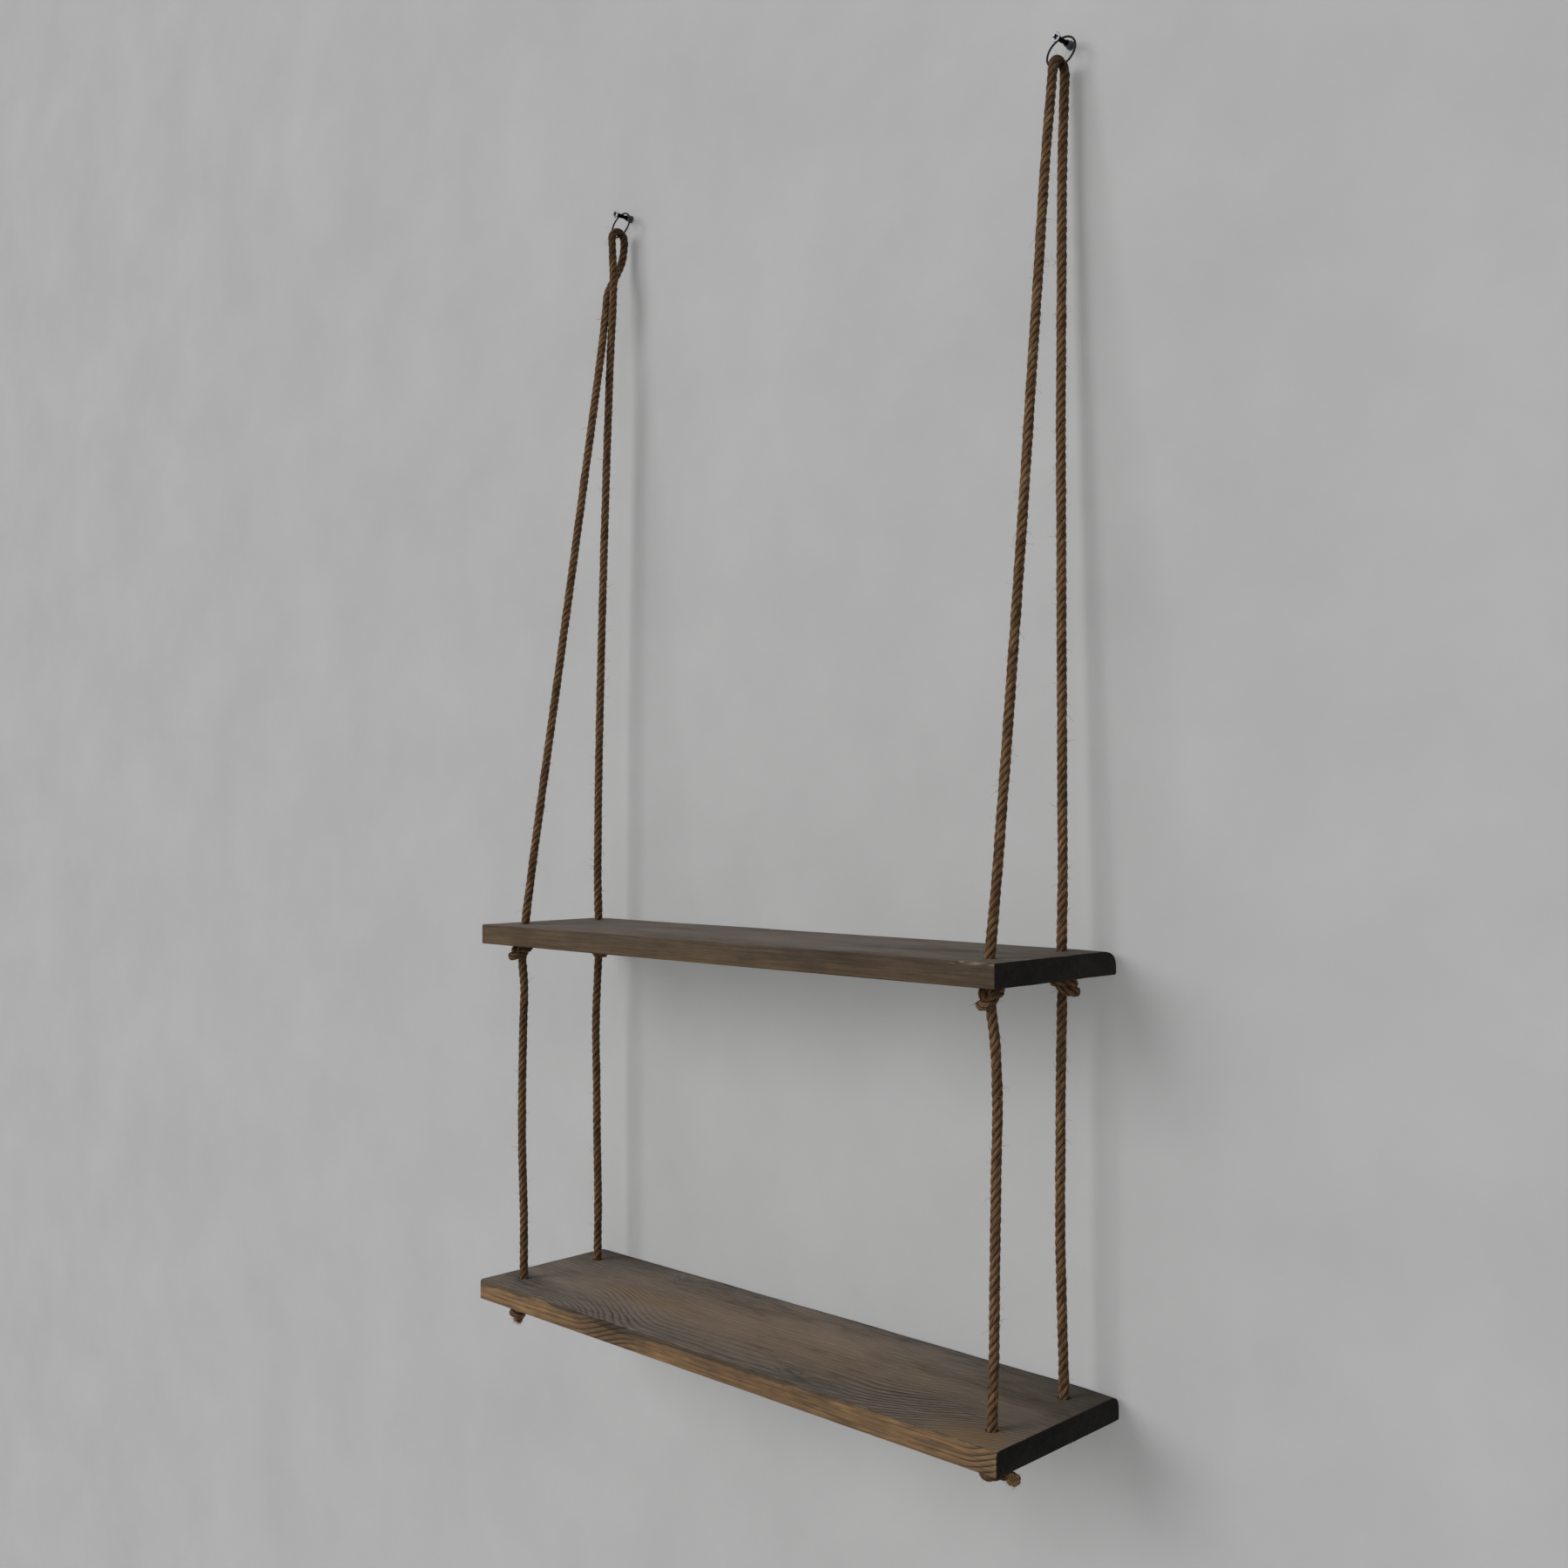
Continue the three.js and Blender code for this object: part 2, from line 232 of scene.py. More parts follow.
def cut_away(piece: Object, cutters: Sequence[Object]) -> None:
    """Cut shapes out of a piece and delete the cutters.

    Args:
        piece: the piece to cut.
        cutters: closed meshes to take away.
    """
    for cutter in cutters:
        modifier = piece.modifiers.new("cut", "BOOLEAN")
        modifier.operation = "DIFFERENCE"
        modifier.solver = "EXACT"
        modifier.object = cutter
    plain_mesh(piece)
    for cutter in cutters:
        bpy.data.objects.remove(cutter)


def plain_mesh(piece: Object) -> None:
    """Bake a mesh object's modifiers into its mesh.

    Args:
        piece: the object, which keeps its name and its place.
    """
    evaluated = piece.evaluated_get(bpy.context.evaluated_depsgraph_get())
    mesh = bpy.data.meshes.new_from_object(evaluated)
    piece.modifiers.clear()
    piece.data = mesh


def smooth_shade(piece: Object, sharp_degrees: float = 40) -> None:
    """Shade a piece smooth, but for its sharp edges.

    Args:
        piece: the piece.
        sharp_degrees: edges that turn more than this stay sharp.
    """
    piece.data.shade_smooth()
    piece.data.set_sharp_from_angle(angle=math.radians(sharp_degrees))


def curved_route(points: Sequence[Sequence[float]], step: float) -> list[np.ndarray]:
    """Run a centripetal Catmull-Rom curve through points, as the rope solids' routes do.

    Args:
        points: places in metres, each with any further values to carry along.
        step: about how far apart the curve's places lie.

    Returns:
        Places along the curve.
    """
    known = [np.asarray(p, float) for p in points]
    known = [2 * known[0] - known[1], *known, 2 * known[-1] - known[-2]]
    route = [known[1]]
    for before, start, end, after in zip(known, known[1:], known[2:], known[3:]):
        spans = [max(math.sqrt(np.linalg.norm((b - a)[:3])), LEAST_SPAN) for a, b in
                 ((before, start), (start, end), (end, after))]
        out = (start - before) / spans[0] - (end - before) / (spans[0] + spans[1]) + (end - start) / spans[1]
        into = (end - start) / spans[1] - (after - start) / (spans[1] + spans[2]) + (after - end) / spans[2]
        out, into = out * spans[1], into * spans[1]
        count = max(1, round(np.linalg.norm((end - start)[:3]) / step))
        for i in range(1, count + 1):
            t = i / count
            a, b = 2 * t ** 3 - 3 * t ** 2 + 1, t ** 3 - 2 * t ** 2 + t
            c, d = -2 * t ** 3 + 3 * t ** 2, t ** 3 - t ** 2
            route.append(a * start + b * out + c * end + d * into)
    return route


@dataclass(frozen=True)
class ShelfSizes:
    """Where the shelves, holes and rings lie, in metres, as the frame has them."""

    board_length: float = 0.8
    board_depth: float = 0.2
    board_thickness: float = 0.024
    upper_top: float = -0.932
    lower_top: float = -1.372
    hole_across: float = 0.364
    hole_diameter: float = 0.0115
    front_hole: float = -0.16
    rear_hole: float = -0.043
    ring_across: float = 0.352
    ring_diameter: float = 0.0365
    ring_wire: float = 0.0022
    ring_lean: float = math.radians(14)
    loop_from_wall: float = 0.0225
    screw_diameter: float = 0.0052
    seat_gap: float = 0.0003
    rope_diameter: float = 0.0098
    bend_drop: float = 0.054332

    @property
    def ring_bend(self) -> float:
        """The radius that the ring's wire is bent to, at its middle."""
        return (self.ring_diameter - self.ring_wire) / 2

    @property
    def ring_half_height(self) -> float:
        """How far the wire's middle lies above and below the leaning ring's centre."""
        return self.ring_bend * math.cos(self.ring_lean)

    @property
    def ring_centre(self) -> float:
        """The height of the ring's centre, with its top on the screw."""
        return (self.screw_diameter + self.ring_wire) / 2 + self.seat_gap - self.ring_half_height

    @property
    def ring_from_wall(self) -> float:
        """How far the ring's centre lies from the wall, with the rope at its foot."""
        return self.loop_from_wall - self.ring_bend * math.sin(self.ring_lean)

    def mouth(self, corner: Corner, top: float) -> np.ndarray:
        """The middle of a hole's upper mouth in a board whose top lies at a height."""
        y = self.front_hole if corner.row is Row.FRONT else self.rear_hole
        return np.array([corner.side.value * self.hole_across, y, top])


SIZES = ShelfSizes()
ACROSS_PHOTO = np.array([0.723, 0.69, 0.0])


def swayed(places: Sequence[np.ndarray], start: np.ndarray, end: np.ndarray, sways: Shares
           ) -> list[np.ndarray]:
    """Move the places of a hanging rope aside, across the photograph.

    Args:
        places: the rope's places, in metres.
        start: where it starts, at the top.
        end: where it ends.
        sways: shares of the way down, each with how far to the photograph's right the rope hangs there,
            until the end.

    Returns:
        The moved places.
    """
    ways, moves = zip(*sways, (1.0, 0.0))
    return [place + ACROSS_PHOTO * np.interp((start[2] - place[2]) / (start[2] - end[2]), ways, moves)
            for place in places]


@dataclass(frozen=True)
class NaturalRope:
    """Jute rope laid of four strands: dull, brown and hairy, with painted shade in the grooves between the
    strands and at its top near the ring.
    """

    crown: str = "987a5c"
    strand: str = "6c5036"
    shade: str = "362112"
    # The colour of the painted shade in the grooves between the strands.
    groove: str = "1c0f06"
    fibre: str = "927553"
    cut_end: str = "b79c78"
    end_dark: str = "5f4630"
    # Where the painted shade at the rope's top near the ring starts and ends, and the share of colour it
    # leaves.
    top_shade_from: float = -0.12
    top_shade_to: float = -0.03
    top_shade_share: float = 0.64
    yarn_width: float = 0.0008
    yarn_twist: float = 0.55
    streak_length: float = 0.011
    stain_length: float = 0.055
    stains_around: float = 0.35
    fibre_mottles_per_metre: float = 90.0
    roughness: float = 0.92
    fibre_roughness: float = 0.8
    specular: float = 0.2

    def material(self, lay_length: float) -> Material:
        """Yarn streaks that run along each strand, with painted shade in the grooves, stained, and with
        painted shade near the ring.

        Args:
            lay_length: how far a strand runs in one turn.

        Returns:
            The material, which reads the rope's own attributes.
        """
        material, tree, shader = new_material("natural_rope")
        add = partial(add_node, tree)
        lay = add("ShaderNodeAttribute", attribute_name="lay").outputs["Vector"]
        groove = add("ShaderNodeAttribute", attribute_name="groove").outputs["Fac"]
        along = add("ShaderNodeSeparateXYZ", {"Vector": lay}).outputs["Z"]
        yarn_turn = add("ShaderNodeMath", {0: along, 1: self.yarn_twist * math.tau / lay_length},
                        operation="MULTIPLY")
        yarns = add("ShaderNodeVectorRotate", {"Vector": lay, "Angle": yarn_turn}, rotation_type="Z_AXIS")
        yarns_across = SIZES.rope_diameter / 2 / self.yarn_width / 2
        stretch = (yarns_across, yarns_across, 1 / self.streak_length)
        streak_place = add("ShaderNodeVectorMath", {0: yarns, 1: stretch}, operation="MULTIPLY")
        streaks = add("ShaderNodeTexNoise", {"Vector": streak_place, "Scale": 1.0, "Detail": 5.0,
                                             "Roughness": 0.62})
        stain_place = add("ShaderNodeVectorMath",
                          {0: lay, 1: (self.stains_around, self.stains_around, 1 / self.stain_length)},
                          operation="MULTIPLY")
        stains = add("ShaderNodeTexNoise", {"Vector": stain_place, "Scale": 1.0, "Detail": 3.0})
        tone = add("ShaderNodeMapRange", {"Value": streaks, "From Min": 0.3, "From Max": 0.72})
        colour = colour_ramp(tree, tone, [(0.0, self.shade), (0.42, self.strand), (1.0, self.crown)])
        # Painted shade: the grooves between the strands are darkened toward the groove colour.
        shade = add("ShaderNodeMapRange", {"Value": groove, "From Min": 0.2, "From Max": 1.0,
                                           "To Max": 0.85})
        groove_shaded = add("ShaderNodeMix", {"Factor": shade, "A": colour, "B": linear(self.groove)},
                      data_type="RGBA")
        stain = add("ShaderNodeMapRange", {"Value": stains, "From Min": 0.36, "From Max": 0.66,
                                           "To Min": 0.6, "To Max": 1.05})
        # Painted shade: the rope darkens toward its top, near the ring.
        height = add("ShaderNodeSeparateXYZ",
                     {"Vector": add("ShaderNodeTexCoord").outputs["Object"]}).outputs["Z"]
        top_shade = add("ShaderNodeMapRange",
                      {"Value": height, "From Min": self.top_shade_from, "From Max": self.top_shade_to,
                       "To Min": 1.0, "To Max": self.top_shade_share})
        # The stains times the painted shade near the ring.
        worn = add("ShaderNodeMath", {0: stain, 1: top_shade}, operation="MULTIPLY")
        stained_and_shaded = add("ShaderNodeVectorMath", {0: groove_shaded.outputs[2], "Scale": worn}, operation="SCALE")
        on_cut = add("ShaderNodeAttribute", attribute_name="cut").outputs["Fac"]
        cut = colour_ramp(tree, streaks, [(0.4, self.end_dark), (0.56, self.fibre), (0.7, self.cut_end)])
        ended = add("ShaderNodeMix", {"Factor": on_cut, "A": stained_and_shaded, "B": cut}, data_type="RGBA")
        bump = add("ShaderNodeBump", {"Height": streaks, "Strength": 0.7, "Distance": 0.0005})
        feed(tree, shader, {"Base Color": ended, "Roughness": self.roughness,
                            "Specular IOR Level": self.specular, "Normal": bump})
        return material

    def fibre_material(self) -> Material:
        """Single fibres, paler than the strands that they stand out of, mottled every 11 mm.

        Returns:
            The material.
        """
        material, tree, shader = new_material("loose_fibre")
        place = add_node(tree, "ShaderNodeTexCoord").outputs["Object"]
        mottle = add_node(tree, "ShaderNodeTexNoise",
                          {"Vector": place, "Scale": self.fibre_mottles_per_metre, "Detail": 2.0})
        colour = colour_ramp(tree, mottle, [(0.3, self.strand), (0.5, self.fibre), (0.72, self.cut_end)])
        feed(tree, shader, {"Base Color": colour, "Roughness": self.fibre_roughness})
        return material


@dataclass(frozen=True)
class Spot:
    """A soft-edged place on a board, seen from above, and how much of something it adds, in metres."""

    x: float
    y: float
    reach_x: float
    reach_y: float
    amount: float


@dataclass(frozen=True)
class GrainBend:
    """A stretch over which the grain lines move across the board, in metres."""

    start: float
    end: float
    shift: float
    rear_share: float


@dataclass(frozen=True)
class GrainNoise:
    """Noise stretched along a board: its waves to a metre, its own offset, and its finer layers."""

    waves: Point
    offset: float
    detail: float = 4.0
    roughness: float = 0.55


@dataclass(frozen=True)
class WeatheredPine:
    """Reclaimed pine: sawn, weathered grey-brown, with dark latewood lines and worn, warmer edges.

    Its growth rings lie some 6 mm apart, with fine ones every 1.7 mm. Beside each noise stands the real
    size that its waves are worked out from: how long and how wide a streak, a patch or a speck is.
    """

    name: str
    seed: float
    dark: str = "3f3832"
    mid: str = "5f564d"
    light: str = "726558"
    warm: str = "80694f"
    line: str = "231e1a"
    worn_dark: str = "574433"
    worn_light: str = "8f6f4e"
    front_dark: str = "453b31"
    front_light: str = "645546"
    # Pale top front edge: wear, with a painted highlight where light catches the rounded edge.
    pale_wear_and_highlight: str = "94846f"
    # End-face colours: the end grain's own dark stain, with painted shade added where the ends face away from
    # the light.
    end_dark: str = "100f0e"
    shaded_end_light: str = "2b2825"
    ring_spacing: float = 0.0062
    fine_spacing: float = 0.0017
    ring_tilt: float = 1.3
    front_tilt: float = 1.1
    wander: float = 0.03
    front_wander: float = 0.012
    swirls: tuple[Spot, ...] = ()
    bends: tuple[GrainBend, ...] = ()
    front_bends: tuple[GrainBend, ...] = ()
    warm_places: tuple[Spot, ...] = ()
    stains: tuple[Spot, ...] = ()
    front_stains: tuple[Spot, ...] = ()
    lined: tuple[Spot, ...] = ()
    front_lined: tuple[Spot, ...] = ()
    speckled: tuple[Spot, ...] = ()
    worn_line: float = -0.006
    worn_bumps: tuple[Spot, ...] = ()
    worn_blur: float = 0.0012
    flecked: float = 0.0
    wear_and_highlight_places: tuple[Spot, ...] = ()
    rear_line: float = 0.005
    front_band: tuple[float, float] = (0.0026, 0.0014)
    end_band: tuple[float, float] = (0.0012, 0.0006)
    wear_and_highlight_band: tuple[float, float] = (-0.0038, -0.0018)
    chip_depth: float = 0.010
    jitter_scale: float = 0.45
    jitter: float = 0.7
    line_start: float = 0.3
    line_peak: float = 0.93
    line_power: float = 1.6
    line_depth: float = 0.5
    tone_shares: Point = (0.6, 0.7, 0.3)
    end_contrast: float = 0.6
    speckling: float = 0.3
    drift: GrainNoise = GrainNoise((3.4, 13.0, 13.0), 0.0, 3.0, 0.45)  # 290 by 77 mm
    streaks: GrainNoise = GrainNoise((16.0, 560.0, 560.0), 1.0, 4.0, 0.62)  # 62 by 1.8 mm
    patches: GrainNoise = GrainNoise((4.5, 17.0, 17.0), 3.0, 5.0, 0.6)  # 220 by 59 mm
    mottles: GrainNoise = GrainNoise((40.0, 130.0, 130.0), 9.0, 4.0, 0.6)  # 25 by 8 mm
    strengths: GrainNoise = GrainNoise((4.0, 12.0, 12.0), 7.0, 2.0)  # 250 by 83 mm
    specks: GrainNoise = GrainNoise((150.0, 260.0, 260.0), 5.0, 3.0, 0.6)  # 7 by 4 mm
    flecks: GrainNoise = GrainNoise((26.0, 0.0, 210.0), 23.0, 5.0, 0.7)  # 38 by 5 mm
    chips: GrainNoise = GrainNoise((45.0, 0.0, 90.0), 11.0, 5.0, 0.65)  # 22 by 11 mm
    wear_and_highlight_noise: GrainNoise = GrainNoise((60.0, 0.0, 420.0), 17.0, 4.0, 0.65)  # 17 by 2.4 mm
    roughness: float = 0.88
    specular: float = 0.2

    def noise(self, tree: NodeTree, place: Source, form: GrainNoise) -> NodeSocket:
        """Noise stretched along the board.

        Args:
            tree: the shader tree.
            place: where on the board.
            form: the noise's waves and layers.

        Returns:
            The noise's value, about 0.5.
        """
        scaled = add_node(tree, "ShaderNodeVectorMath", {0: place, 1: form.waves}, operation="MULTIPLY")
        return add_node(tree, "ShaderNodeTexNoise",
                        {"Vector": scaled, "W": self.seed + form.offset, "Scale": 1.0,
                         "Detail": form.detail, "Roughness": form.roughness},
                        noise_dimensions="4D").outputs["Fac"]

    def marked(self, tree: NodeTree, place: Source, spots: Iterable[Spot], start: Source) -> Source:
        """Add each spot's bump to a value.

        Args:
            tree: the shader tree.
            place: where on the board.
            spots: the places to add.
            start: the value or socket to add them to.

        Returns:
            The sum.
        """
        total = start
        add = partial(add_node, tree)
        for spot in spots:
            offset = add("ShaderNodeVectorMath", {0: place, 1: (spot.x, spot.y, 0)}, operation="SUBTRACT")
            near = add("ShaderNodeVectorMath",
                       {0: offset, 1: (1 / spot.reach_x, 1 / spot.reach_y, 0)}, operation="MULTIPLY")
            square = add("ShaderNodeVectorMath", {0: near, 1: near}, operation="DOT_PRODUCT")
            fall = add("ShaderNodeMath", {0: square.outputs["Value"], 1: -1.0}, operation="MULTIPLY")
            bump = add("ShaderNodeMath", {0: fall}, operation="EXPONENT")
            total = add("ShaderNodeMath", {0: bump, 1: spot.amount, 2: total},
                        operation="MULTIPLY_ADD").outputs[0]
        return total

    def darkened(self, tree: NodeTree, colour: Source, amount: Source) -> NodeSocket:
        """Take a share of a colour away, up to all of it.

        Args:
            tree: the shader tree.
            colour: the colour.
            amount: the share to take away.

        Returns:
            The darker colour.
        """
        left = add_node(tree, "ShaderNodeMath", {0: 1.0, 1: amount}, operation="SUBTRACT", use_clamp=True)
        kept = add_node(tree, "ShaderNodeVectorMath", {0: colour, "Scale": left}, operation="SCALE")
        return kept.outputs[0]

    def ring_field(self, tree: NodeTree, place: Source, axes: NodeOutputs,
                   slope: Source, wander: float, bends: Iterable[GrainBend]) -> NodeSocket:
        """A field whose equal steps are the growth rings.

        Args:
            tree: the shader tree.
            place: where on the board.
            axes: that place's coordinates, apart.
            slope: the straight rings' field.
            wander: how far the rings wander, in metres.
            bends: where they bend.

        Returns:
            The field, in metres.
        """
        add = partial(add_node, tree)
        drift = self.noise(tree, place, self.drift)
        rings = add("ShaderNodeMath", {0: drift, 1: wander, 2: slope}, operation="MULTIPLY_ADD")
        rings = self.marked(tree, place, self.swirls, rings.outputs[0])
        for bend in bends:
            way = add("ShaderNodeMapRange",
                      {"Value": axes["X"], "From Min": bend.start, "From Max": bend.end},
                      interpolation_type="SMOOTHSTEP")
            share = add("ShaderNodeMapRange",
                        {"Value": axes["Y"], "From Min": 0.0, "From Max": -SIZES.board_depth,
                         "To Min": bend.rear_share, "To Max": 1.0})
            moved = add("ShaderNodeMath", {0: way, 1: share}, operation="MULTIPLY")
            rings = add("ShaderNodeMath", {0: moved, 1: -bend.shift, 2: rings},
                        operation="MULTIPLY_ADD").outputs[0]
        return rings

    def latewood(self, tree: NodeTree, rings: Source, spacing: float) -> NodeSocket:
        """Narrow dark lines, one to each ring.

        Args:
            tree: the shader tree.
            rings: the field of the growth rings, in metres.
            spacing: how far apart the lines are, in metres.

        Returns:
            A value that is 1 on a line and 0 between lines.
        """
        add = partial(add_node, tree)
        turns = add("ShaderNodeMath", {0: rings, 1: 1 / spacing}, operation="MULTIPLY")
        jitter = add("ShaderNodeTexNoise", {"W": turns, "Scale": self.jitter_scale, "Detail": 1.0},
                     noise_dimensions="1D")
        uneven = add("ShaderNodeMath", {0: jitter, 1: self.jitter, 2: turns}, operation="MULTIPLY_ADD")
        share = add("ShaderNodeMath", {0: uneven}, operation="FRACT")
        rise, fall = (add("ShaderNodeMapRange",
                          {"Value": share, "From Min": start, "From Max": self.line_peak})
                      for start in (self.line_start, 1.0))
        power = add("ShaderNodeMath", {0: rise, 1: self.line_power}, operation="POWER")
        return add("ShaderNodeMath", {0: power, 1: fall}, operation="MULTIPLY").outputs[0]

    def front_colour(self, tree: NodeTree, place: Source, axes: NodeOutputs, tone: Source) -> NodeSocket:
        """The front edge: grey-brown, with chipped and worn places where warmer wood shows.

        Args:
            tree: the shader tree.
            place: where on the board.
            axes: that place's coordinates, apart.
            tone: how light the wood is there.

        Returns:
            The front's colour.
        """
        add = partial(add_node, tree)
        sawn = colour_ramp(tree, tone, [(0.0, self.front_dark), (1.0, self.front_light)])
        worn = colour_ramp(tree, tone, [(0.0, self.worn_dark), (1.0, self.worn_light)])
        fleck = self.noise(tree, place, self.flecks)
        flecks = add("ShaderNodeMapRange", {"Value": fleck, "From Min": 0.46, "From Max": 0.62,
                                            "To Max": self.flecked})
        worn = add("ShaderNodeMix", {"Factor": flecks, "A": worn, "B": sawn}, data_type="RGBA").outputs[2]
        chips = self.noise(tree, place, self.chips)
        ragged = add("ShaderNodeMath",
                     {0: chips, 1: self.chip_depth, 2: self.worn_line - self.chip_depth / 2},
                     operation="MULTIPLY_ADD")
        line = self.marked(tree, place, self.worn_bumps, ragged)
        below = add("ShaderNodeMath", {0: line, 1: axes["Z"]}, operation="SUBTRACT")
        mask = add("ShaderNodeMapRange", {"Value": below, "From Min": -self.worn_blur,
                                          "From Max": self.worn_blur})
        front = add("ShaderNodeMix", {"Factor": mask, "A": sawn, "B": worn}, data_type="RGBA")
        # Pale in places along the top front edge: wear, and a painted highlight where light catches the
        # rounded edge.
        wear_and_highlight_field = self.marked(tree, place, self.wear_and_highlight_places, self.noise(tree, place, self.wear_and_highlight_noise))
        wear_and_highlight_share = add("ShaderNodeMapRange", {"Value": wear_and_highlight_field, "From Min": 0.68, "From Max": 0.86,
                                            "To Max": 0.75})
        top_edge = add("ShaderNodeMapRange",
                       {"Value": axes["Z"], "From Min": self.wear_and_highlight_band[0],
                        "From Max": self.wear_and_highlight_band[1]})
        wear_and_highlight_mix = add("ShaderNodeMath", {0: wear_and_highlight_share, 1: top_edge}, operation="MULTIPLY")
        return add("ShaderNodeMix", {"Factor": wear_and_highlight_mix, "A": front.outputs[2],
                                     "B": linear(self.pale_wear_and_highlight)}, data_type="RGBA").outputs[2]

    def material(self, top: float) -> Material:
        """The board's finish, set by where on the board a point lies.

        Args:
            top: the height of the board's top.

        Returns:
            The material.
        """
        material, tree, shader = new_material(self.name)
        add = partial(add_node, tree)
        coordinates = add("ShaderNodeTexCoord").outputs["Object"]
        place = add("ShaderNodeVectorMath", {0: coordinates, 1: (0, 0, top)},
                    operation="SUBTRACT").outputs[0]
        axes = add("ShaderNodeSeparateXYZ", {"Vector": place}).outputs
        in_front = add("ShaderNodeMapRange",
                       {"Value": axes["Y"], "From Min": -SIZES.board_depth + self.front_band[0],
                        "From Max": -SIZES.board_depth + self.front_band[1]})
        slope = add("ShaderNodeMath", {0: axes["Z"], 1: -self.ring_tilt, 2: axes["Y"]},
                    operation="MULTIPLY_ADD")
        front_slope = add("ShaderNodeMath", {0: axes["Z"], 1: -self.front_tilt}, operation="MULTIPLY")
        top_rings = self.ring_field(tree, place, axes, slope, self.wander, self.bends)
        front_rings = self.ring_field(tree, place, axes, front_slope, self.front_wander, self.front_bends)
        lines, fine = (add("ShaderNodeMix",
                           {"Factor": in_front, "A": self.latewood(tree, top_rings, spacing),
                            "B": self.latewood(tree, front_rings, spacing)})
                       for spacing in (self.ring_spacing, self.fine_spacing))

        patterns = [self.noise(tree, place, form) for form in (self.streaks, self.patches, self.mottles)]
        tone: Source = 0.0
        for pattern, share in zip(patterns, self.tone_shares):
            tone = add("ShaderNodeMath", {0: pattern, 1: share, 2: tone}, operation="MULTIPLY_ADD")
        tone = add("ShaderNodeMapRange", {"Value": tone, "From Min": 0.65, "From Max": 0.96})
        weathered = colour_ramp(tree, tone, [(0.0, self.dark), (0.42, self.mid), (1.0, self.light)])
        warmth = self.marked(tree, place, self.warm_places, 0.0)
        warmed = add("ShaderNodeMix", {"Factor": warmth, "A": weathered, "B": linear(self.warm)},
                     data_type="RGBA")
        top_darkening = self.marked(tree, place, self.stains, 0.0)
        # The top darkens in a narrow line along its rear edge, against the wall.
        rear = add("ShaderNodeMapRange", {"Value": axes["Y"], "From Min": -self.rear_line,
                                          "From Max": -self.rear_line / 3, "To Max": 0.65})
        top_darkening = add("ShaderNodeMath", {0: top_darkening, 1: rear}, operation="ADD")
        warmed = self.darkened(tree, warmed.outputs[2], top_darkening)
        front = self.darkened(tree, self.front_colour(tree, place, axes, tone),
                              self.marked(tree, place, self.front_stains, 0.0))
        faces = add("ShaderNodeMix", {"Factor": in_front, "A": warmed, "B": front}, data_type="RGBA")

        strength = self.noise(tree, place, self.strengths)
        base = add("ShaderNodeMapRange", {"Value": strength, "From Min": 0.4, "From Max": 0.68,
                                          "To Min": 0.08, "To Max": 0.5})
        marks = add("ShaderNodeMix",
                    {"Factor": in_front, "A": self.marked(tree, place, self.lined, 0.0),
                     "B": self.marked(tree, place, self.front_lined, 0.0)})
        lining = add("ShaderNodeMath", {0: base, 1: marks}, operation="ADD", use_clamp=True)
        dark_lines = add("ShaderNodeMath", {0: lines, 1: lining}, operation="MULTIPLY")
        lined = add("ShaderNodeMix", {"Factor": dark_lines, "A": faces.outputs[2],
                                      "B": linear(self.line)}, data_type="RGBA")
        faintness = add("ShaderNodeMapRange", {"Value": in_front, "To Min": 0.15, "To Max": 0.34})
        faint = add("ShaderNodeMath", {0: fine, 1: faintness}, operation="MULTIPLY")
        fine_lined = add("ShaderNodeMix", {"Factor": faint, "A": lined.outputs[2],
                                           "B": linear(self.line)}, data_type="RGBA")

        speck = self.noise(tree, place, self.specks)
        speck_area = self.marked(tree, place, self.speckled, 0.0)
        speck_value = add("ShaderNodeMath", {0: speck_area, 1: self.speckling, 2: speck},
                          operation="MULTIPLY_ADD")
        specks = add("ShaderNodeMapRange", {"Value": speck_value, "From Min": 0.78, "From Max": 0.88})
        specked = add("ShaderNodeMix", {"Factor": specks, "A": fine_lined.outputs[2],
                                        "B": linear(self.line)}, data_type="RGBA")

        # The end faces are painted near-black: partly the end grain's own stain, partly painted shade.
        end_tone = tone
        for rings in (fine, lines):
            end_tone = add("ShaderNodeMath", {0: rings, 1: self.end_contrast, 2: end_tone},
                           operation="MULTIPLY_ADD")
        end_stain_and_shade = colour_ramp(tree, end_tone, [(0.2, self.shaded_end_light), (1.0, self.end_dark)])
        reach = add("ShaderNodeMath", {0: axes["X"]}, operation="ABSOLUTE")
        half = SIZES.board_length / 2
        at_end = add("ShaderNodeMapRange",
                     {"Value": reach, "From Min": half - self.end_band[0],
                      "From Max": half - self.end_band[1]})
        final = add("ShaderNodeMix", {"Factor": at_end, "A": specked.outputs[2], "B": end_stain_and_shade},
                    data_type="RGBA")
        height = add("ShaderNodeMath", {0: lines, 1: -self.line_depth, 2: patterns[0]},
                     operation="MULTIPLY_ADD")
        bump = add("ShaderNodeBump", {"Height": height, "Strength": 0.5, "Distance": 0.0005})
        feed(tree, shader, {"Base Color": final, "Roughness": self.roughness,
                            "Specular IOR Level": self.specular, "Normal": bump})
        return material


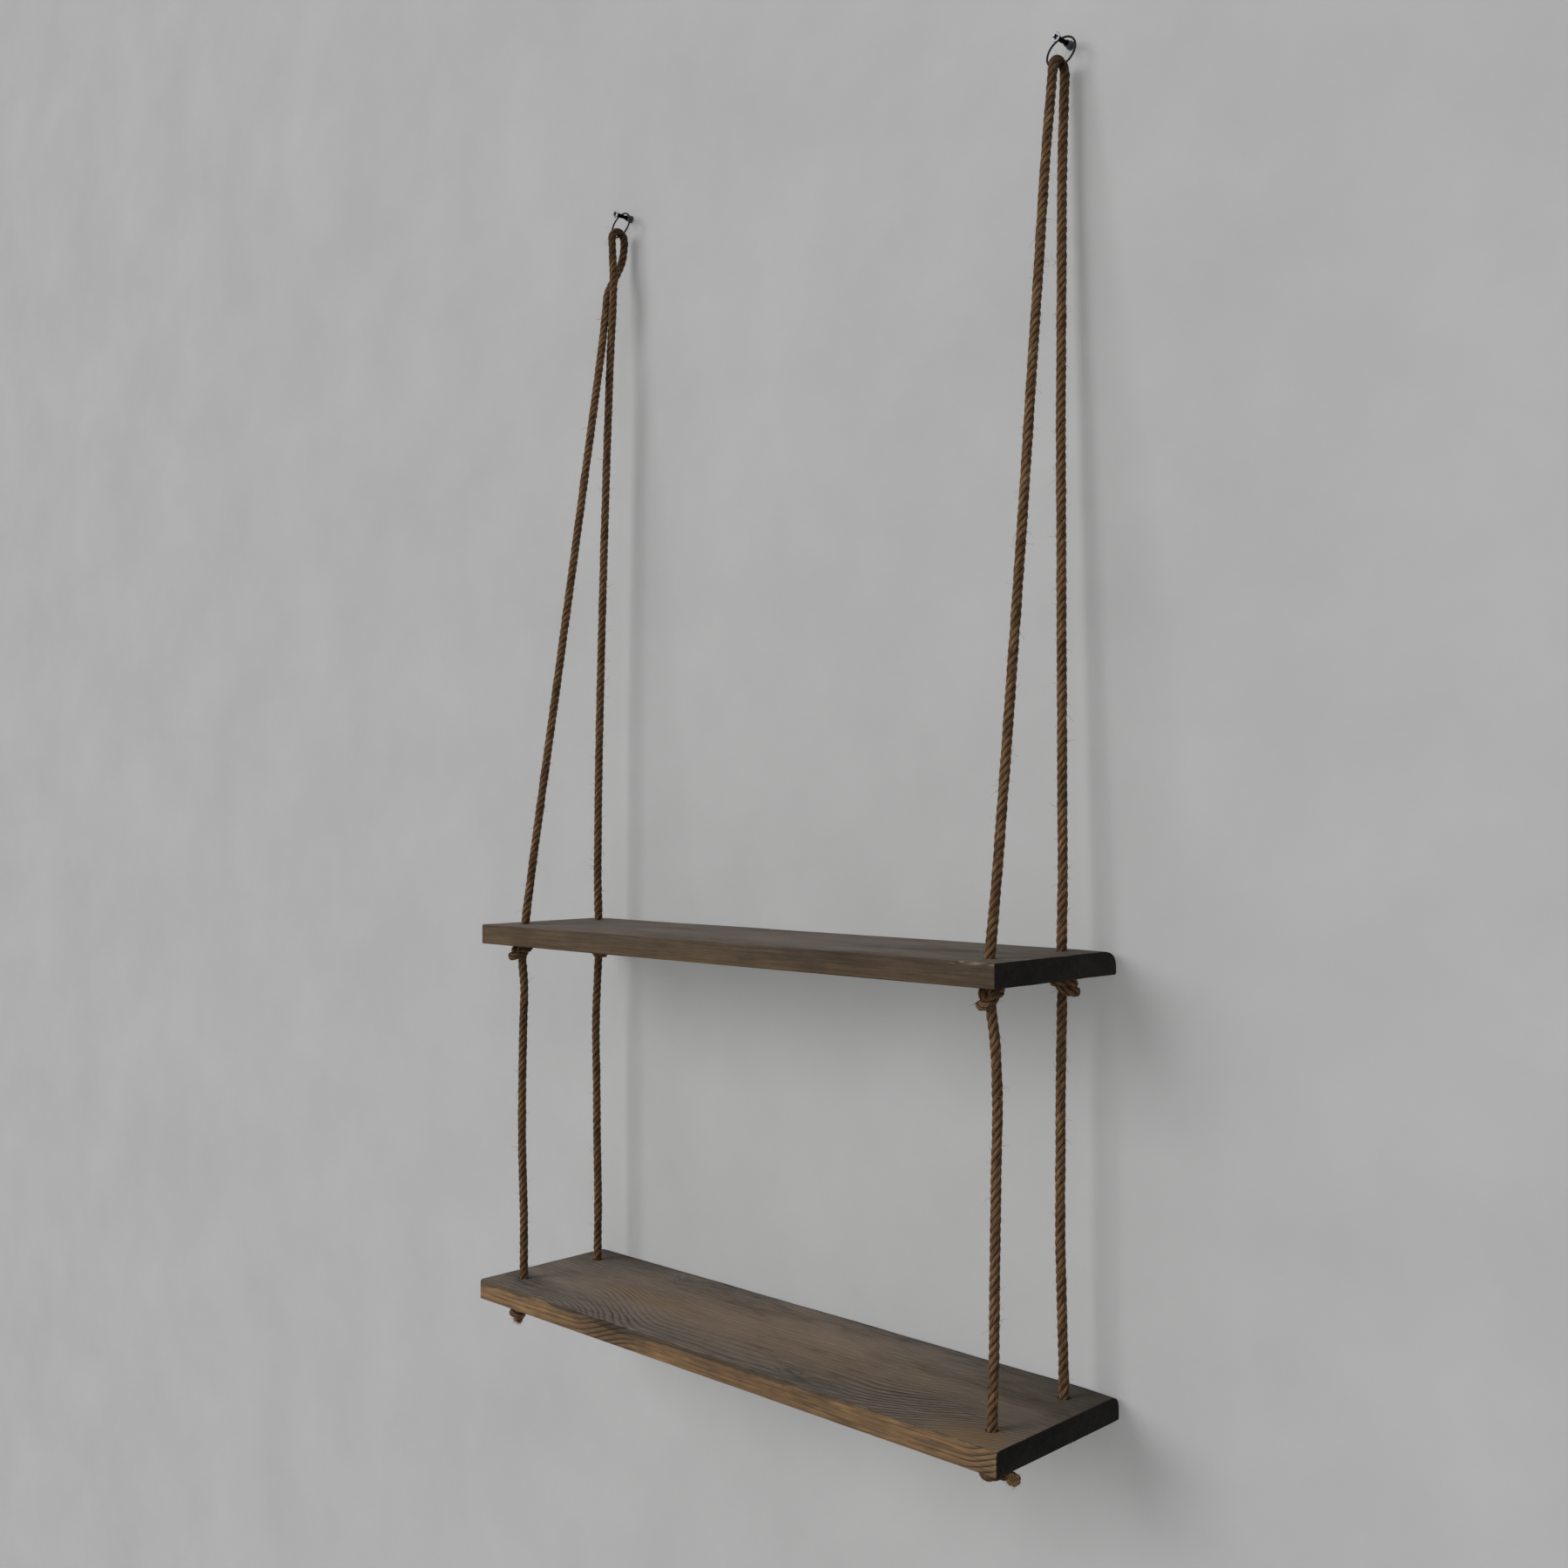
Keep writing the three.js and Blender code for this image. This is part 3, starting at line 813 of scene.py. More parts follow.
@dataclass(frozen=True)
class MottledMetal:
    """A metal whose mottling varies its colour and its shine."""

    name: str
    bright: str
    dull: str
    roughness: float
    dulling: float
    shining: float
    mottles_per_metre: float
    detail: float
    mottle_band: tuple[float, float]

    def material(self) -> Material:
        """Metal that is duller and rougher in its mottles.

        Returns:
            The material.
        """
        material, tree, shader = new_material(self.name)
        place = add_node(tree, "ShaderNodeTexCoord").outputs["Object"]
        mottles = add_node(tree, "ShaderNodeTexNoise",
                           {"Vector": place, "Scale": self.mottles_per_metre, "Detail": self.detail})
        colour = colour_ramp(tree, mottles, list(zip(self.mottle_band, (self.dull, self.bright))))
        rough = add_node(tree, "ShaderNodeMapRange", {"Value": mottles, "From Min": 0.3, "From Max": 0.7,
                                                      "To Min": self.roughness + self.dulling,
                                                      "To Max": self.roughness - self.shining})
        feed(tree, shader, {"Base Color": colour, "Roughness": rough, "Metallic": 1.0})
        return material


@dataclass(frozen=True)
class DarkSteelWire(MottledMetal):
    """Drawn steel wire gone dark: near-black brown metal with a satin shine and dull spots every 2.4 mm."""

    name: str = "dark_steel_wire"
    bright: str = "464341"
    dull: str = "1f1c1a"
    roughness: float = 0.4
    dulling: float = 0.2
    shining: float = 0.08
    mottles_per_metre: float = 420.0
    detail: float = 4.0
    mottle_band: tuple[float, float] = (0.35, 0.7)


@dataclass(frozen=True)
class ZincPlate(MottledMetal):
    """Zinc plating on a steel screw, gone a little dull: pale grey metal, lightly clouded every 3.3 mm."""

    name: str = "zinc_plate"
    bright: str = "9da0a4"
    dull: str = "76797d"
    roughness: float = 0.58
    dulling: float = 0.15
    shining: float = 0.0
    mottles_per_metre: float = 300.0
    detail: float = 3.0
    mottle_band: tuple[float, float] = (0.35, 0.65)


@dataclass(frozen=True)
class MouldedNylon:
    """Dark grey nylon of a wall plug: matte, finely pitted from its mould."""

    light: str = "46474a"
    dark: str = "333437"
    roughness: float = 0.55
    pits_per_metre: float = 900.0

    def material(self) -> Material:
        """Matte grey plastic, pitted every 1.1 mm: coarser than the mould's own pits, so that it shows.

        Returns:
            The material.
        """
        material, tree, shader = new_material("moulded_nylon")
        place = add_node(tree, "ShaderNodeTexCoord").outputs["Object"]
        pits = add_node(tree, "ShaderNodeTexNoise", {"Vector": place, "Scale": self.pits_per_metre,
                                                     "Detail": 2.0})
        colour = colour_ramp(tree, pits, [(0.3, self.dark), (0.7, self.light)])
        bump = add_node(tree, "ShaderNodeBump", {"Height": pits, "Strength": 0.2, "Distance": 0.0002})
        feed(tree, shader, {"Base Color": colour, "Roughness": self.roughness, "Normal": bump})
        return material


@dataclass(frozen=True)
class FibreForm:
    """A kind of loose fibre: its size in metres, its lean from upright in radians, and its bend's shares.

    A real jute fibre is 0.02 to 0.1 mm thick. These are 0.18 to 0.3 mm thick, as coarse as they need to be
    to show in the render.
    """

    length: float
    radius: float
    least_lean: float
    most_lean: float
    root: float = 0.0004
    bend_rise: float = 0.55
    tip_reach: float = 0.45
    tip_rise: float = 0.85
    tip_share: float = 0.45
    least_size: float = 0.45
    most_size: float = 1.35


FUZZ = FibreForm(0.0028, 0.00009, 0.7, 1.45)
STRAYS = FibreForm(0.0085, 0.00015, 0.4, 1.3)
BRUSH = FibreForm(0.0042, 0.00009, 0.0, 0.5)


@dataclass
class RopeMaker:
    """Lays four strands along any route and sets loose fibres on them."""

    finish: NaturalRope = field(default_factory=NaturalRope)
    diameter: float = 0.0104
    lay_length: float = 0.0362
    step: float = 0.0013
    strands: int = 4
    sides: int = 32
    strand_share: float = 0.6
    fuzz_per_square_metre: float = 42000.0
    strays_per_square_metre: float = 5600.0
    brush_per_square_metre: float = 1500000.0
    swell: float = 0.09
    swells_per_lay: float = 1.6
    hanging_wander: float = 0.0008
    wander_length: float = 0.06

    def __post_init__(self) -> None:
        """Make the rope's materials and its tree once."""
        self.rope_finish = self.finish.material(self.lay_length)
        self.fibre_finish = self.finish.fibre_material()
        self.tree = self.build_tree()

    def strand_profile(self, tree: NodeTree) -> Node:
        """The outline of the strands pressed together, for a rope whose radius is 1.

        Args:
            tree: the geometry tree.

        Returns:
            The node that gives the outline.
        """
        add = partial(add_node, tree)
        circle = add("GeometryNodeCurvePrimitiveCircle",
                     {"Resolution": self.sides, "Radius": 1.0}, mode="RADIUS")
        spot = add("GeometryNodeInputPosition")
        share = add("GeometryNodeSplineParameter").outputs["Factor"]
        turns = add("ShaderNodeMath", {0: share, 1: self.strands}, operation="MULTIPLY")
        strand = add("ShaderNodeMath", {0: turns}, operation="FRACT")
        middle = add("ShaderNodeMath", {0: strand, 1: 0.5}, operation="SUBTRACT")
        angle = add("ShaderNodeMath", {0: middle, 1: math.tau / self.strands}, operation="MULTIPLY")
        cosine = add("ShaderNodeMath", {0: angle}, operation="COSINE")
        sine = add("ShaderNodeMath", {0: angle}, operation="SINE")
        centre = 1 - self.strand_share
        aside = add("ShaderNodeMath", {0: sine, 1: centre}, operation="MULTIPLY")
        aside_square = add("ShaderNodeMath", {0: aside, 1: aside}, operation="MULTIPLY")
        left = add("ShaderNodeMath", {0: self.strand_share ** 2, 1: aside_square}, operation="SUBTRACT")
        beyond = add("ShaderNodeMath", {0: left}, operation="SQRT")
        radius = add("ShaderNodeMath", {0: cosine, 1: centre, 2: beyond}, operation="MULTIPLY_ADD")
        edge = math.pi / self.strands
        least = centre * math.cos(edge) + math.sqrt(self.strand_share ** 2 - (centre * math.sin(edge)) ** 2)
        # How deep a point lies in a groove, which the painted shade in the grooves follows.
        groove = add("ShaderNodeMapRange", {"Value": radius, "From Min": 1.0, "From Max": least})
        stored = add("GeometryNodeStoreNamedAttribute",
                     {"Geometry": circle, "Name": "around", "Value": spot},
                     data_type="FLOAT_VECTOR", domain="POINT")
        groove_shaded = add("GeometryNodeStoreNamedAttribute",
                      {"Geometry": stored, "Name": "groove", "Value": groove},
                      data_type="FLOAT", domain="POINT")
        moved = add("ShaderNodeVectorMath", {0: spot, "Scale": radius}, operation="SCALE")
        return add("GeometryNodeSetPosition", {"Geometry": groove_shaded, "Position": moved})

    def fibres(self, tree: NodeTree, surface: Source, density: Source, selection: Source,
               form: FibreForm, seed: Source) -> Node:
        """Bent fibres set about a surface.

        Args:
            tree: the geometry tree.
            surface: the mesh that they stand on.
            density: how many to a square metre.
            selection: where they may stand.
            form: what a fibre is like.
            seed: the socket that holds the seed.

        Returns:
            The node that gives the realized fibres.
        """
        add = partial(add_node, tree)
        spread = add("GeometryNodeDistributePointsOnFaces",
                     {"Mesh": surface, "Selection": selection, "Density": density, "Seed": seed},
                     distribute_method="RANDOM")
        bend = add("GeometryNodeCurveQuadraticBezier",
                   {"Resolution": 3, "Start": (0, 0, -form.root),
                    "Middle": (0, 0, form.length * form.bend_rise),
                    "End": (form.length * form.tip_reach, 0, form.length * form.tip_rise)})
        section = add("GeometryNodeCurvePrimitiveCircle",
                      {"Resolution": 3, "Radius": form.radius}, mode="RADIUS")
        share = add("GeometryNodeSplineParameter").outputs["Factor"]
        taper = add("ShaderNodeMapRange", {"Value": share, "To Min": 1.0, "To Max": form.tip_share})
        fibre = add("GeometryNodeCurveToMesh",
                    {"Curve": bend, "Profile Curve": section, "Scale": taper, "Fill Caps": True})
        lean = add("FunctionNodeRandomValue", {0: (form.least_lean, 0.0, 0.0),
                                               1: (form.most_lean, 0.0, 0.0), "Seed": seed},
                   data_type="FLOAT_VECTOR")
        spin = add("FunctionNodeRandomValue", {0: (0.0, 0.0, 0.0), 1: (0.0, 0.0, math.tau),
                                               "Seed": seed}, data_type="FLOAT_VECTOR")
        leaning = add("FunctionNodeRotateRotation",
                      {"Rotation": spread.outputs["Rotation"],
                       "Rotate By": add("FunctionNodeEulerToRotation", {"Euler": spin})},
                      rotation_space="LOCAL")
        turned = add("FunctionNodeRotateRotation",
                     {"Rotation": leaning,
                      "Rotate By": add("FunctionNodeEulerToRotation", {"Euler": lean})},
                     rotation_space="LOCAL")
        size = add("FunctionNodeRandomValue",
                   {2: form.least_size, 3: form.most_size, "Seed": seed}, data_type="FLOAT")
        placed = add("GeometryNodeInstanceOnPoints",
                     {"Points": spread.outputs["Points"], "Instance": fibre, "Rotation": turned,
                      "Scale": size})
        realized = add("GeometryNodeRealizeInstances", {"Geometry": placed})
        return add("GeometryNodeSetMaterial", {"Geometry": realized, "Material": self.fibre_finish})

    def build_tree(self) -> NodeTree:
        """The geometry tree that turns a route into laid rope with its fibres.

        Returns:
            The tree, whose inputs are the rope's sizes.
        """
        tree = bpy.data.node_groups.new("laid_rope", "GeometryNodeTree")
        tree.interface.new_socket("Geometry", in_out="INPUT", socket_type="NodeSocketGeometry")
        for name, value in (("Rope radius", self.diameter / 2), ("Lay length", self.lay_length),
                            ("Step", self.step), ("Fuzz density", self.fuzz_per_square_metre),
                            ("Stray density", self.strays_per_square_metre), ("Brush density", 0.0),
                            ("Wander", 0.0)):
            socket = tree.interface.new_socket(name, in_out="INPUT", socket_type="NodeSocketFloat")
            socket.default_value = value
        tree.interface.new_socket("Seed", in_out="INPUT", socket_type="NodeSocketInt")
        tree.interface.new_socket("Geometry", in_out="OUTPUT", socket_type="NodeSocketGeometry")
        add = partial(add_node, tree)
        inputs = add("NodeGroupInput").outputs
        path = add("GeometryNodeResampleCurve", {"Curve": inputs["Geometry"],
                                                 "Length": inputs["Step"]}, mode="LENGTH")
        along = add("GeometryNodeSplineParameter").outputs["Length"]
        spot = add("GeometryNodeInputPosition")
        drift = add("ShaderNodeTexNoise", {"Vector": spot, "W": inputs["Seed"],
                                           "Scale": 1 / self.wander_length, "Detail": 2.0},
                    noise_dimensions="4D")
        aside = add("ShaderNodeVectorMath", {0: drift.outputs["Color"], 1: (0.5, 0.5, 0.5)},
                    operation="SUBTRACT")
        offset = add("ShaderNodeVectorMath", {0: aside, "Scale": inputs["Wander"]}, operation="SCALE")
        wandered = add("GeometryNodeSetPosition", {"Geometry": path, "Offset": offset})
        turns = add("ShaderNodeMath", {0: along, 1: inputs["Lay length"]}, operation="DIVIDE")
        turn = add("ShaderNodeMath", {0: turns, 1: math.tau}, operation="MULTIPLY")
        twisted = add("GeometryNodeSetCurveTilt", {"Curve": wandered, "Tilt": turn})
        stored = add("GeometryNodeStoreNamedAttribute",
                     {"Geometry": twisted, "Name": "along", "Value": along},
                     data_type="FLOAT", domain="POINT")
        lays = add("ShaderNodeMath", {0: along, 1: 1 / self.lay_length, 2: inputs["Seed"]},
                   operation="MULTIPLY_ADD")
        thickness = add("ShaderNodeTexNoise", {"W": lays, "Scale": self.swells_per_lay, "Detail": 2.0},
                        noise_dimensions="1D")
        uneven = add("ShaderNodeMapRange", {"Value": thickness, "To Min": 1 - self.swell,
                                            "To Max": 1 + self.swell})
        laid_radius = add("ShaderNodeMath", {0: inputs["Rope radius"], 1: uneven}, operation="MULTIPLY")
        radius = add("ShaderNodeMath", {0: add("GeometryNodeInputRadius"), 1: laid_radius},
                     operation="MULTIPLY")
        rope = add("GeometryNodeCurveToMesh",
                   {"Curve": stored, "Profile Curve": self.strand_profile(tree), "Scale": radius,
                    "Fill Caps": True})
        around = add("GeometryNodeInputNamedAttribute", {"Name": "around"}, data_type="FLOAT_VECTOR")
        run = add("GeometryNodeInputNamedAttribute", {"Name": "along"}, data_type="FLOAT")
        flat = add("ShaderNodeSeparateXYZ", {"Vector": around})
        lay = add("ShaderNodeCombineXYZ", {"X": flat.outputs["X"], "Y": flat.outputs["Y"], "Z": run})
        marked = add("GeometryNodeStoreNamedAttribute",
                     {"Geometry": rope, "Name": "lay", "Value": lay},
                     data_type="FLOAT_VECTOR", domain="POINT")
        total = add("GeometryNodeCurveLength", {"Curve": path})
        from_end = add("ShaderNodeMath", {0: total, 1: run}, operation="SUBTRACT")
        on_cut = add("ShaderNodeMath", {0: from_end, 1: self.step / 4}, operation="LESS_THAN")
        cut = add("GeometryNodeStoreNamedAttribute",
                  {"Geometry": marked, "Name": "cut", "Value": on_cut}, data_type="FLOAT", domain="FACE")
        smooth = add("GeometryNodeSetShadeSmooth", {"Geometry": cut})
        surfaced = add("GeometryNodeSetMaterial", {"Geometry": smooth, "Material": self.rope_finish})
        on_side = add("ShaderNodeMath", {0: from_end, 1: self.step / 4}, operation="GREATER_THAN")
        fuzz, strays, brush = (
            self.fibres(tree, rope, inputs[density], selection, form, inputs["Seed"])
            for density, selection, form in (("Fuzz density", on_side, FUZZ),
                                             ("Stray density", on_side, STRAYS),
                                             ("Brush density", on_cut, BRUSH)))
        joined = add("GeometryNodeJoinGeometry")
        for part in (brush, strays, fuzz, surfaced):
            tree.links.new(part.outputs[0], joined.inputs[0])
        output = add("NodeGroupOutput")
        tree.links.new(joined.outputs[0], output.inputs[0])
        return tree

    def lay(self, name: str, route: Sequence[np.ndarray], seed: int, brush: float = 0.0,
            wander: float = 0.0) -> Object:
        """Lay a rope along a route.

        Args:
            name: the piece's name.
            route: places in metres, each with the rope's thickness there as a share of its own.
            seed: the seed of its fibres.
            brush: how many fibres to a square metre stand out of its cut end.
            wander: how far the rope strays from its route, in metres.

        Returns:
            The rope as a plain mesh at the origin.
        """
        curve = bpy.data.curves.new(name, "CURVE")
        curve.dimensions = "3D"
        spline = curve.splines.new("POLY")
        spline.points.add(len(route) - 1)
        for point, place in zip(spline.points, route):
            point.co = (*place[:3], 1.0)
            point.radius = place[3]
        guide = bpy.data.objects.new(f"{name}_route", curve)
        bpy.context.scene.collection.objects.link(guide)
        modifier = guide.modifiers.new("laid_rope", "NODES")
        modifier.node_group = self.tree
        values = {"Seed": seed, "Brush density": brush, "Wander": wander}
        for item in self.tree.interface.items_tree:
            if item.in_out == "INPUT" and item.name in values:
                modifier[item.identifier] = values[item.name]
        evaluated = guide.evaluated_get(bpy.context.evaluated_depsgraph_get())
        mesh = bpy.data.meshes.new_from_object(evaluated)
        mesh.name = name
        bpy.data.objects.remove(guide)
        piece = bpy.data.objects.new(name, mesh)
        bpy.context.scene.collection.objects.link(piece)
        return piece


def route_with_thickness(points: Sequence[Sequence[float]], thickness: Sequence[float] | float = 1.0
                         ) -> list[np.ndarray]:
    """A smooth route through points, with the rope's thickness at each.

    Args:
        points: places in metres.
        thickness: one share of the rope's own thickness, or one for each point.

    Returns:
        Places, each with its thickness share.
    """
    shares = [thickness] * len(points) if isinstance(thickness, float) else thickness
    return curved_route([(*p, s) for p, s in zip(points, shares)], ROUTE_STEP)


@dataclass
class RopeLoop:
    """One rope doubled over its ring, with a leg to each hole of the upper shelf."""

    side: Side
    maker: RopeMaker
    front_sways: Shares
    rear_sways: Shares
    seed: int = 11
    end_share: float = 0.8
    leg_spacing: float = 0.0206
    crossing_spacing: float = 0.011
    crossing_drop: float = 0.083
    crossing_from_wall: float = 0.0354
    into_hole: float = 0.008
    arch_shares: tuple[float, ...] = (-1, -0.67, -0.33, 0, 0.33, 0.67, 1)
    leg_drop_shares: tuple[float, ...] = (0.03, 0.1, 0.25, 0.4, 0.55, 0.7, 0.82, 0.93)
    above_shares: tuple[Point, ...] = ((0.22, 0.12, 0.03), (0.45, 0.4, 0.18), (0.72, 0.8, 0.56), (1, 1, 1))
    below_shares: Shares = ((0.035, 0.86), (0.09, 0.5), (0.24, 0.1), (0.45, 0), (0.65, 0), (0.8, 0),
                            (0.93, 0))

    @property
    def top_height(self) -> float:
        """The height of the middle of the rope where it lies over the ring."""
        wire = SIZES.ring_centre - SIZES.ring_half_height
        return wire + SIZES.ring_wire / 2 + SIZES.seat_gap + SIZES.rope_diameter / 2

    def arch(self) -> list[np.ndarray]:
        """Half a turn over the ring.

        Returns:
            Places from the front leg to the rear one.
        """
        x, radius = self.side.value * SIZES.ring_across, self.leg_spacing / 2
        places = []
        for share in self.arch_shares:
            angle = share * math.pi / 2
            places.append(np.array([x, -SIZES.loop_from_wall + radius * math.sin(angle),
                                    self.top_height - radius * (1 - math.cos(angle))]))
        return places

    def straight_leg(self, start: np.ndarray, mouth: np.ndarray) -> list[np.ndarray]:
        """A leg that runs straight down to its hole."""
        return [start + (mouth - start) * drop for drop in self.leg_drop_shares]

    def crossed_leg(self, start: np.ndarray, mouth: np.ndarray, aside: float) -> list[np.ndarray]:
        """A leg that changes places with the other one under the ring.

        Args:
            start: the leg's top, beside the ring.
            mouth: the mouth of its hole.
            aside: 1 where it passes the crossing on the right, -1 on the left.

        Returns:
            Places from the top down.
        """
        spread = aside * self.crossing_spacing / 2
        crossing = np.array([start[0], -self.crossing_from_wall, self.top_height - self.crossing_drop])
        places = [np.array([start[0] + spread * across, start[1] + (crossing[1] - start[1]) * way,
                            start[2] + (crossing[2] - start[2]) * drop])
                  for drop, across, way in self.above_shares]
        for way, across in self.below_shares:
            place = crossing + (mouth - crossing) * way
            place[0] += spread * across
            places.append(place)
        return places

    def build(self) -> Object:
        """Lay the rope, ride it on its body and put it in the place of its solid.

        Returns:
            The rope.
        """
        top = self.arch()
        front, rear = (SIZES.mouth(Corner(row, self.side), SIZES.upper_top) for row in Row)
        if self.side is Side.LEFT:
            first, last = self.crossed_leg(top[0], rear, 1), self.crossed_leg(top[-1], front, -1)
            ends, sways = (rear, front), (self.rear_sways, self.front_sways)
        else:
            first, last = self.straight_leg(top[0], front), self.straight_leg(top[-1], rear)
            ends, sways = (front, rear), (self.front_sways, self.rear_sways)
        first = swayed(first, top[0], ends[0], sways[0])
        last = swayed(last, top[-1], ends[1], sways[1])
        inside = [end + np.array([0, 0, -self.into_hole]) for end in ends]
        points = [inside[0], ends[0], *first[::-1], *top, *last, ends[1], inside[1]]
        shares = [self.end_share, *[1.0] * (len(points) - 2), self.end_share]
        name = self.side.name.lower()
        piece = self.maker.lay(f"{name}_doubled_rope", route_with_thickness(points, shares),
                               seed=self.seed + self.side.value, wander=self.maker.hanging_wander)
        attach(piece, f"{name}_rope")
        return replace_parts(piece, f"{name}_rope_loop")


@dataclass(frozen=True)
class KnotForm:
    """An overhand knot: how it is turned, how wide and how flat it is pulled."""

    turn: float
    shift: tuple[float, float] = (0.0, 0.0)
    spacing: float = 0.0072
    rise_spacing: float = 0.0056
    tail: tuple[Point, ...] = ((-0.003, 0, -0.0066), (-0.0085, 0.001, -0.0078), (-0.0148, 0.002, -0.0081))
    half_shares: tuple[Point, ...] = ((0, 0.86, 0), (0.05, 1.02, 0.42), (0.14, 1.24, 0.8),
                                      (0.333, 1.3, 1), (0.52, 1.22, 0.8), (0.62, 1, 0.42),
                                      (0.667, 0.72, 0), (0.667, 0.42, -0.4), (0.667, 0.1, -0.85))
    pressed_share: float = 0.47

    @property
    def half_height(self) -> float:
        """Half of the knot's height, with the rope pressed a little flat over and under it."""
        return self.rise_spacing + SIZES.rope_diameter * self.pressed_share

    def point(self, turn: float, reach: float, rise: float) -> np.ndarray:
        """A place in the knot, from its middle.

        Args:
            turn: the share of a turn about the rope's line.
            reach: how far out, in spacings of the turns.
            rise: how far up, in the spacing of the knot's layers.

        Returns:
            The place in metres.
        """
        angle = math.tau * (turn + self.turn)
        out = reach * self.spacing
        return np.array([out * math.cos(angle) + self.shift[0], out * math.sin(angle) + self.shift[1],
                         rise * self.rise_spacing])

    def route(self, middle: np.ndarray, has_tail: bool) -> list[np.ndarray]:
        """The rope's places through the knot.

        Args:
            middle: the knot's middle.
            has_tail: True where the rope ends in a short tail, False where it goes on down.

        Returns:
            Places from the top of the knot down.
        """
        upper = [self.point(-t, r, -z) for t, r, z in self.half_shares[1:]][::-1]
        lower = [self.point(*share) for share in self.half_shares]
        if has_tail:
            lower += [np.array(place) for place in self.tail]
        return [middle + place for place in [*upper, *lower]]


@dataclass
class KnottedRopes:
    """The ropes at one corner: knotted under the upper shelf, hanging, and knotted under the lower one."""

    corner: Corner
    maker: RopeMaker
    upper_knot: KnotForm
    lower_knot: KnotForm
    sways: Shares
    seed: int
    knot_share: float = 1.0
    hole_share: float = 0.9
    mouth_share: float = 0.88
    under_knot_share: float = 0.7
    top_share: float = 0.85
    foot_share: float = 0.75
    frayed_share: float = 1.18
    upper_hole_drop: float = 0.003
    lower_hole_drop: float = 0.0045
    above_underside: float = 0.004
    hang_shares: tuple[float, ...] = (0.06, 0.2, 0.4, 0.6, 0.8, 0.93)
    bend_rises: tuple[float, ...] = (0.016, 0.006)
    foot_drop: float = 0.005
    bend_from: float = 0.005
    bend_to: float = -0.008
    mouth_drops: tuple[float, ...] = (0.0008, 0.003, 0.007)

    def under(self, top: float, drop: float) -> np.ndarray:
        """A place on the hole's line, below a board's top."""
        return SIZES.mouth(self.corner, top - drop)

    def upper_piece(self) -> Object:
        """The rope in the upper hole and its knot, which hold the upper shelf up.

        Returns:
            The rope.
        """
        drop = SIZES.board_thickness + SIZES.seat_gap + self.upper_knot.half_height
        knot = self.upper_knot.route(self.under(SIZES.upper_top, drop), has_tail=False)
        ends = [self.under(SIZES.upper_top, depth)
                for depth in (self.upper_hole_drop, SIZES.board_thickness - self.above_underside)]
        below = self.under(SIZES.upper_top, drop + self.upper_knot.half_height)
        points = [*ends, *knot, below]
        shares = [self.hole_share, 1.0, *[self.knot_share] * len(knot), self.under_knot_share]
        piece = self.maker.lay(f"upper_knotted_rope_{self.corner.name}", route_with_thickness(points, shares),
                               seed=self.seed)
        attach(piece, "upper_shelf")
        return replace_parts(piece, f"upper_hole_rope_{self.corner.name}", f"upper_knot_{self.corner.name}")

    def hanging_piece(self) -> Object:
        """The rope between the shelves, from its bend under the upper knot down to the lower shelf's mouth.

        Returns:
            The rope.
        """
        bend = self.under(SIZES.upper_top, SIZES.bend_drop)
        mouth = self.under(SIZES.lower_top, 0)
        points = [bend + np.array([0, 0, rise]) for rise in self.bend_rises]
        points += [bend + (mouth - bend) * way for way in self.hang_shares]
        points = swayed(points, bend, mouth, self.sways)
        points += [mouth, mouth + np.array([0, 0, -self.foot_drop])]
        shares = [self.top_share, *[1.0] * (len(points) - 2), self.foot_share]
        piece = self.maker.lay(f"hanging_rope_{self.corner.name}", route_with_thickness(points, shares),
                               seed=self.seed + 1, wander=self.maker.hanging_wander)
        f"upper_bend_{self.corner.name}"
        f"lower_rope_{self.corner.name}"
        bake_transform(piece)
        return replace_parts(piece, f"upper_rope_bend_{self.corner.name}", f"lower_rope_{self.corner.name}")

    def lower_piece(self) -> Object:
        """The rope in the lower hole, its knot and its cut tail, which hold the lower shelf up.

        Returns:
            The rope.
        """
        drop = SIZES.board_thickness + SIZES.seat_gap + self.lower_knot.half_height
        knot = self.lower_knot.route(self.under(SIZES.lower_top, drop), has_tail=True)
        ends = [self.under(SIZES.lower_top, depth)
                for depth in (self.lower_hole_drop, SIZES.board_thickness - self.above_underside)]
        points = [*ends, *knot]
        shares = [self.hole_share, 1.0, *[self.knot_share] * (len(knot) - 1), self.frayed_share]
        piece = self.maker.lay(f"lower_knotted_rope_{self.corner.name}", route_with_thickness(points, shares),
                               seed=self.seed + 2, brush=self.maker.brush_per_square_metre)
        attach(piece, "lower_shelf")
        hidden = [f"lower_hole_rope_{self.corner.name}", f"lower_knot_{self.corner.name}"]
        if self.corner != TREE_CORNER:
            hidden.append(f"lower_rope_bend_{self.corner.name}")
        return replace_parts(piece, *hidden)

    def mouth_piece(self) -> Object:
        """The short stretch of rope in the mouth that the lower shelf turns about.

        Returns:
            The rope.
        """
        points = [self.under(SIZES.lower_top, drop) for drop in self.mouth_drops]
        route = route_with_thickness(points, self.mouth_share)
        piece = self.maker.lay(f"mouth_rope_{self.corner.name}", route, seed=self.seed + 3)
        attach(piece, f"lower_bend_{self.corner.name}")
        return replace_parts(piece, f"lower_rope_bend_{self.corner.name}")

    def build(self) -> list[Object]:
        """Lay all the ropes of this corner.

        Returns:
            The ropes, from the top down.
        """
        pieces = [self.upper_piece(), self.hanging_piece(), self.lower_piece()]
        if self.corner == TREE_CORNER:
            pieces.append(self.mouth_piece())
        return pieces


TREE_CORNER = Corner(Row.FRONT, Side.LEFT)


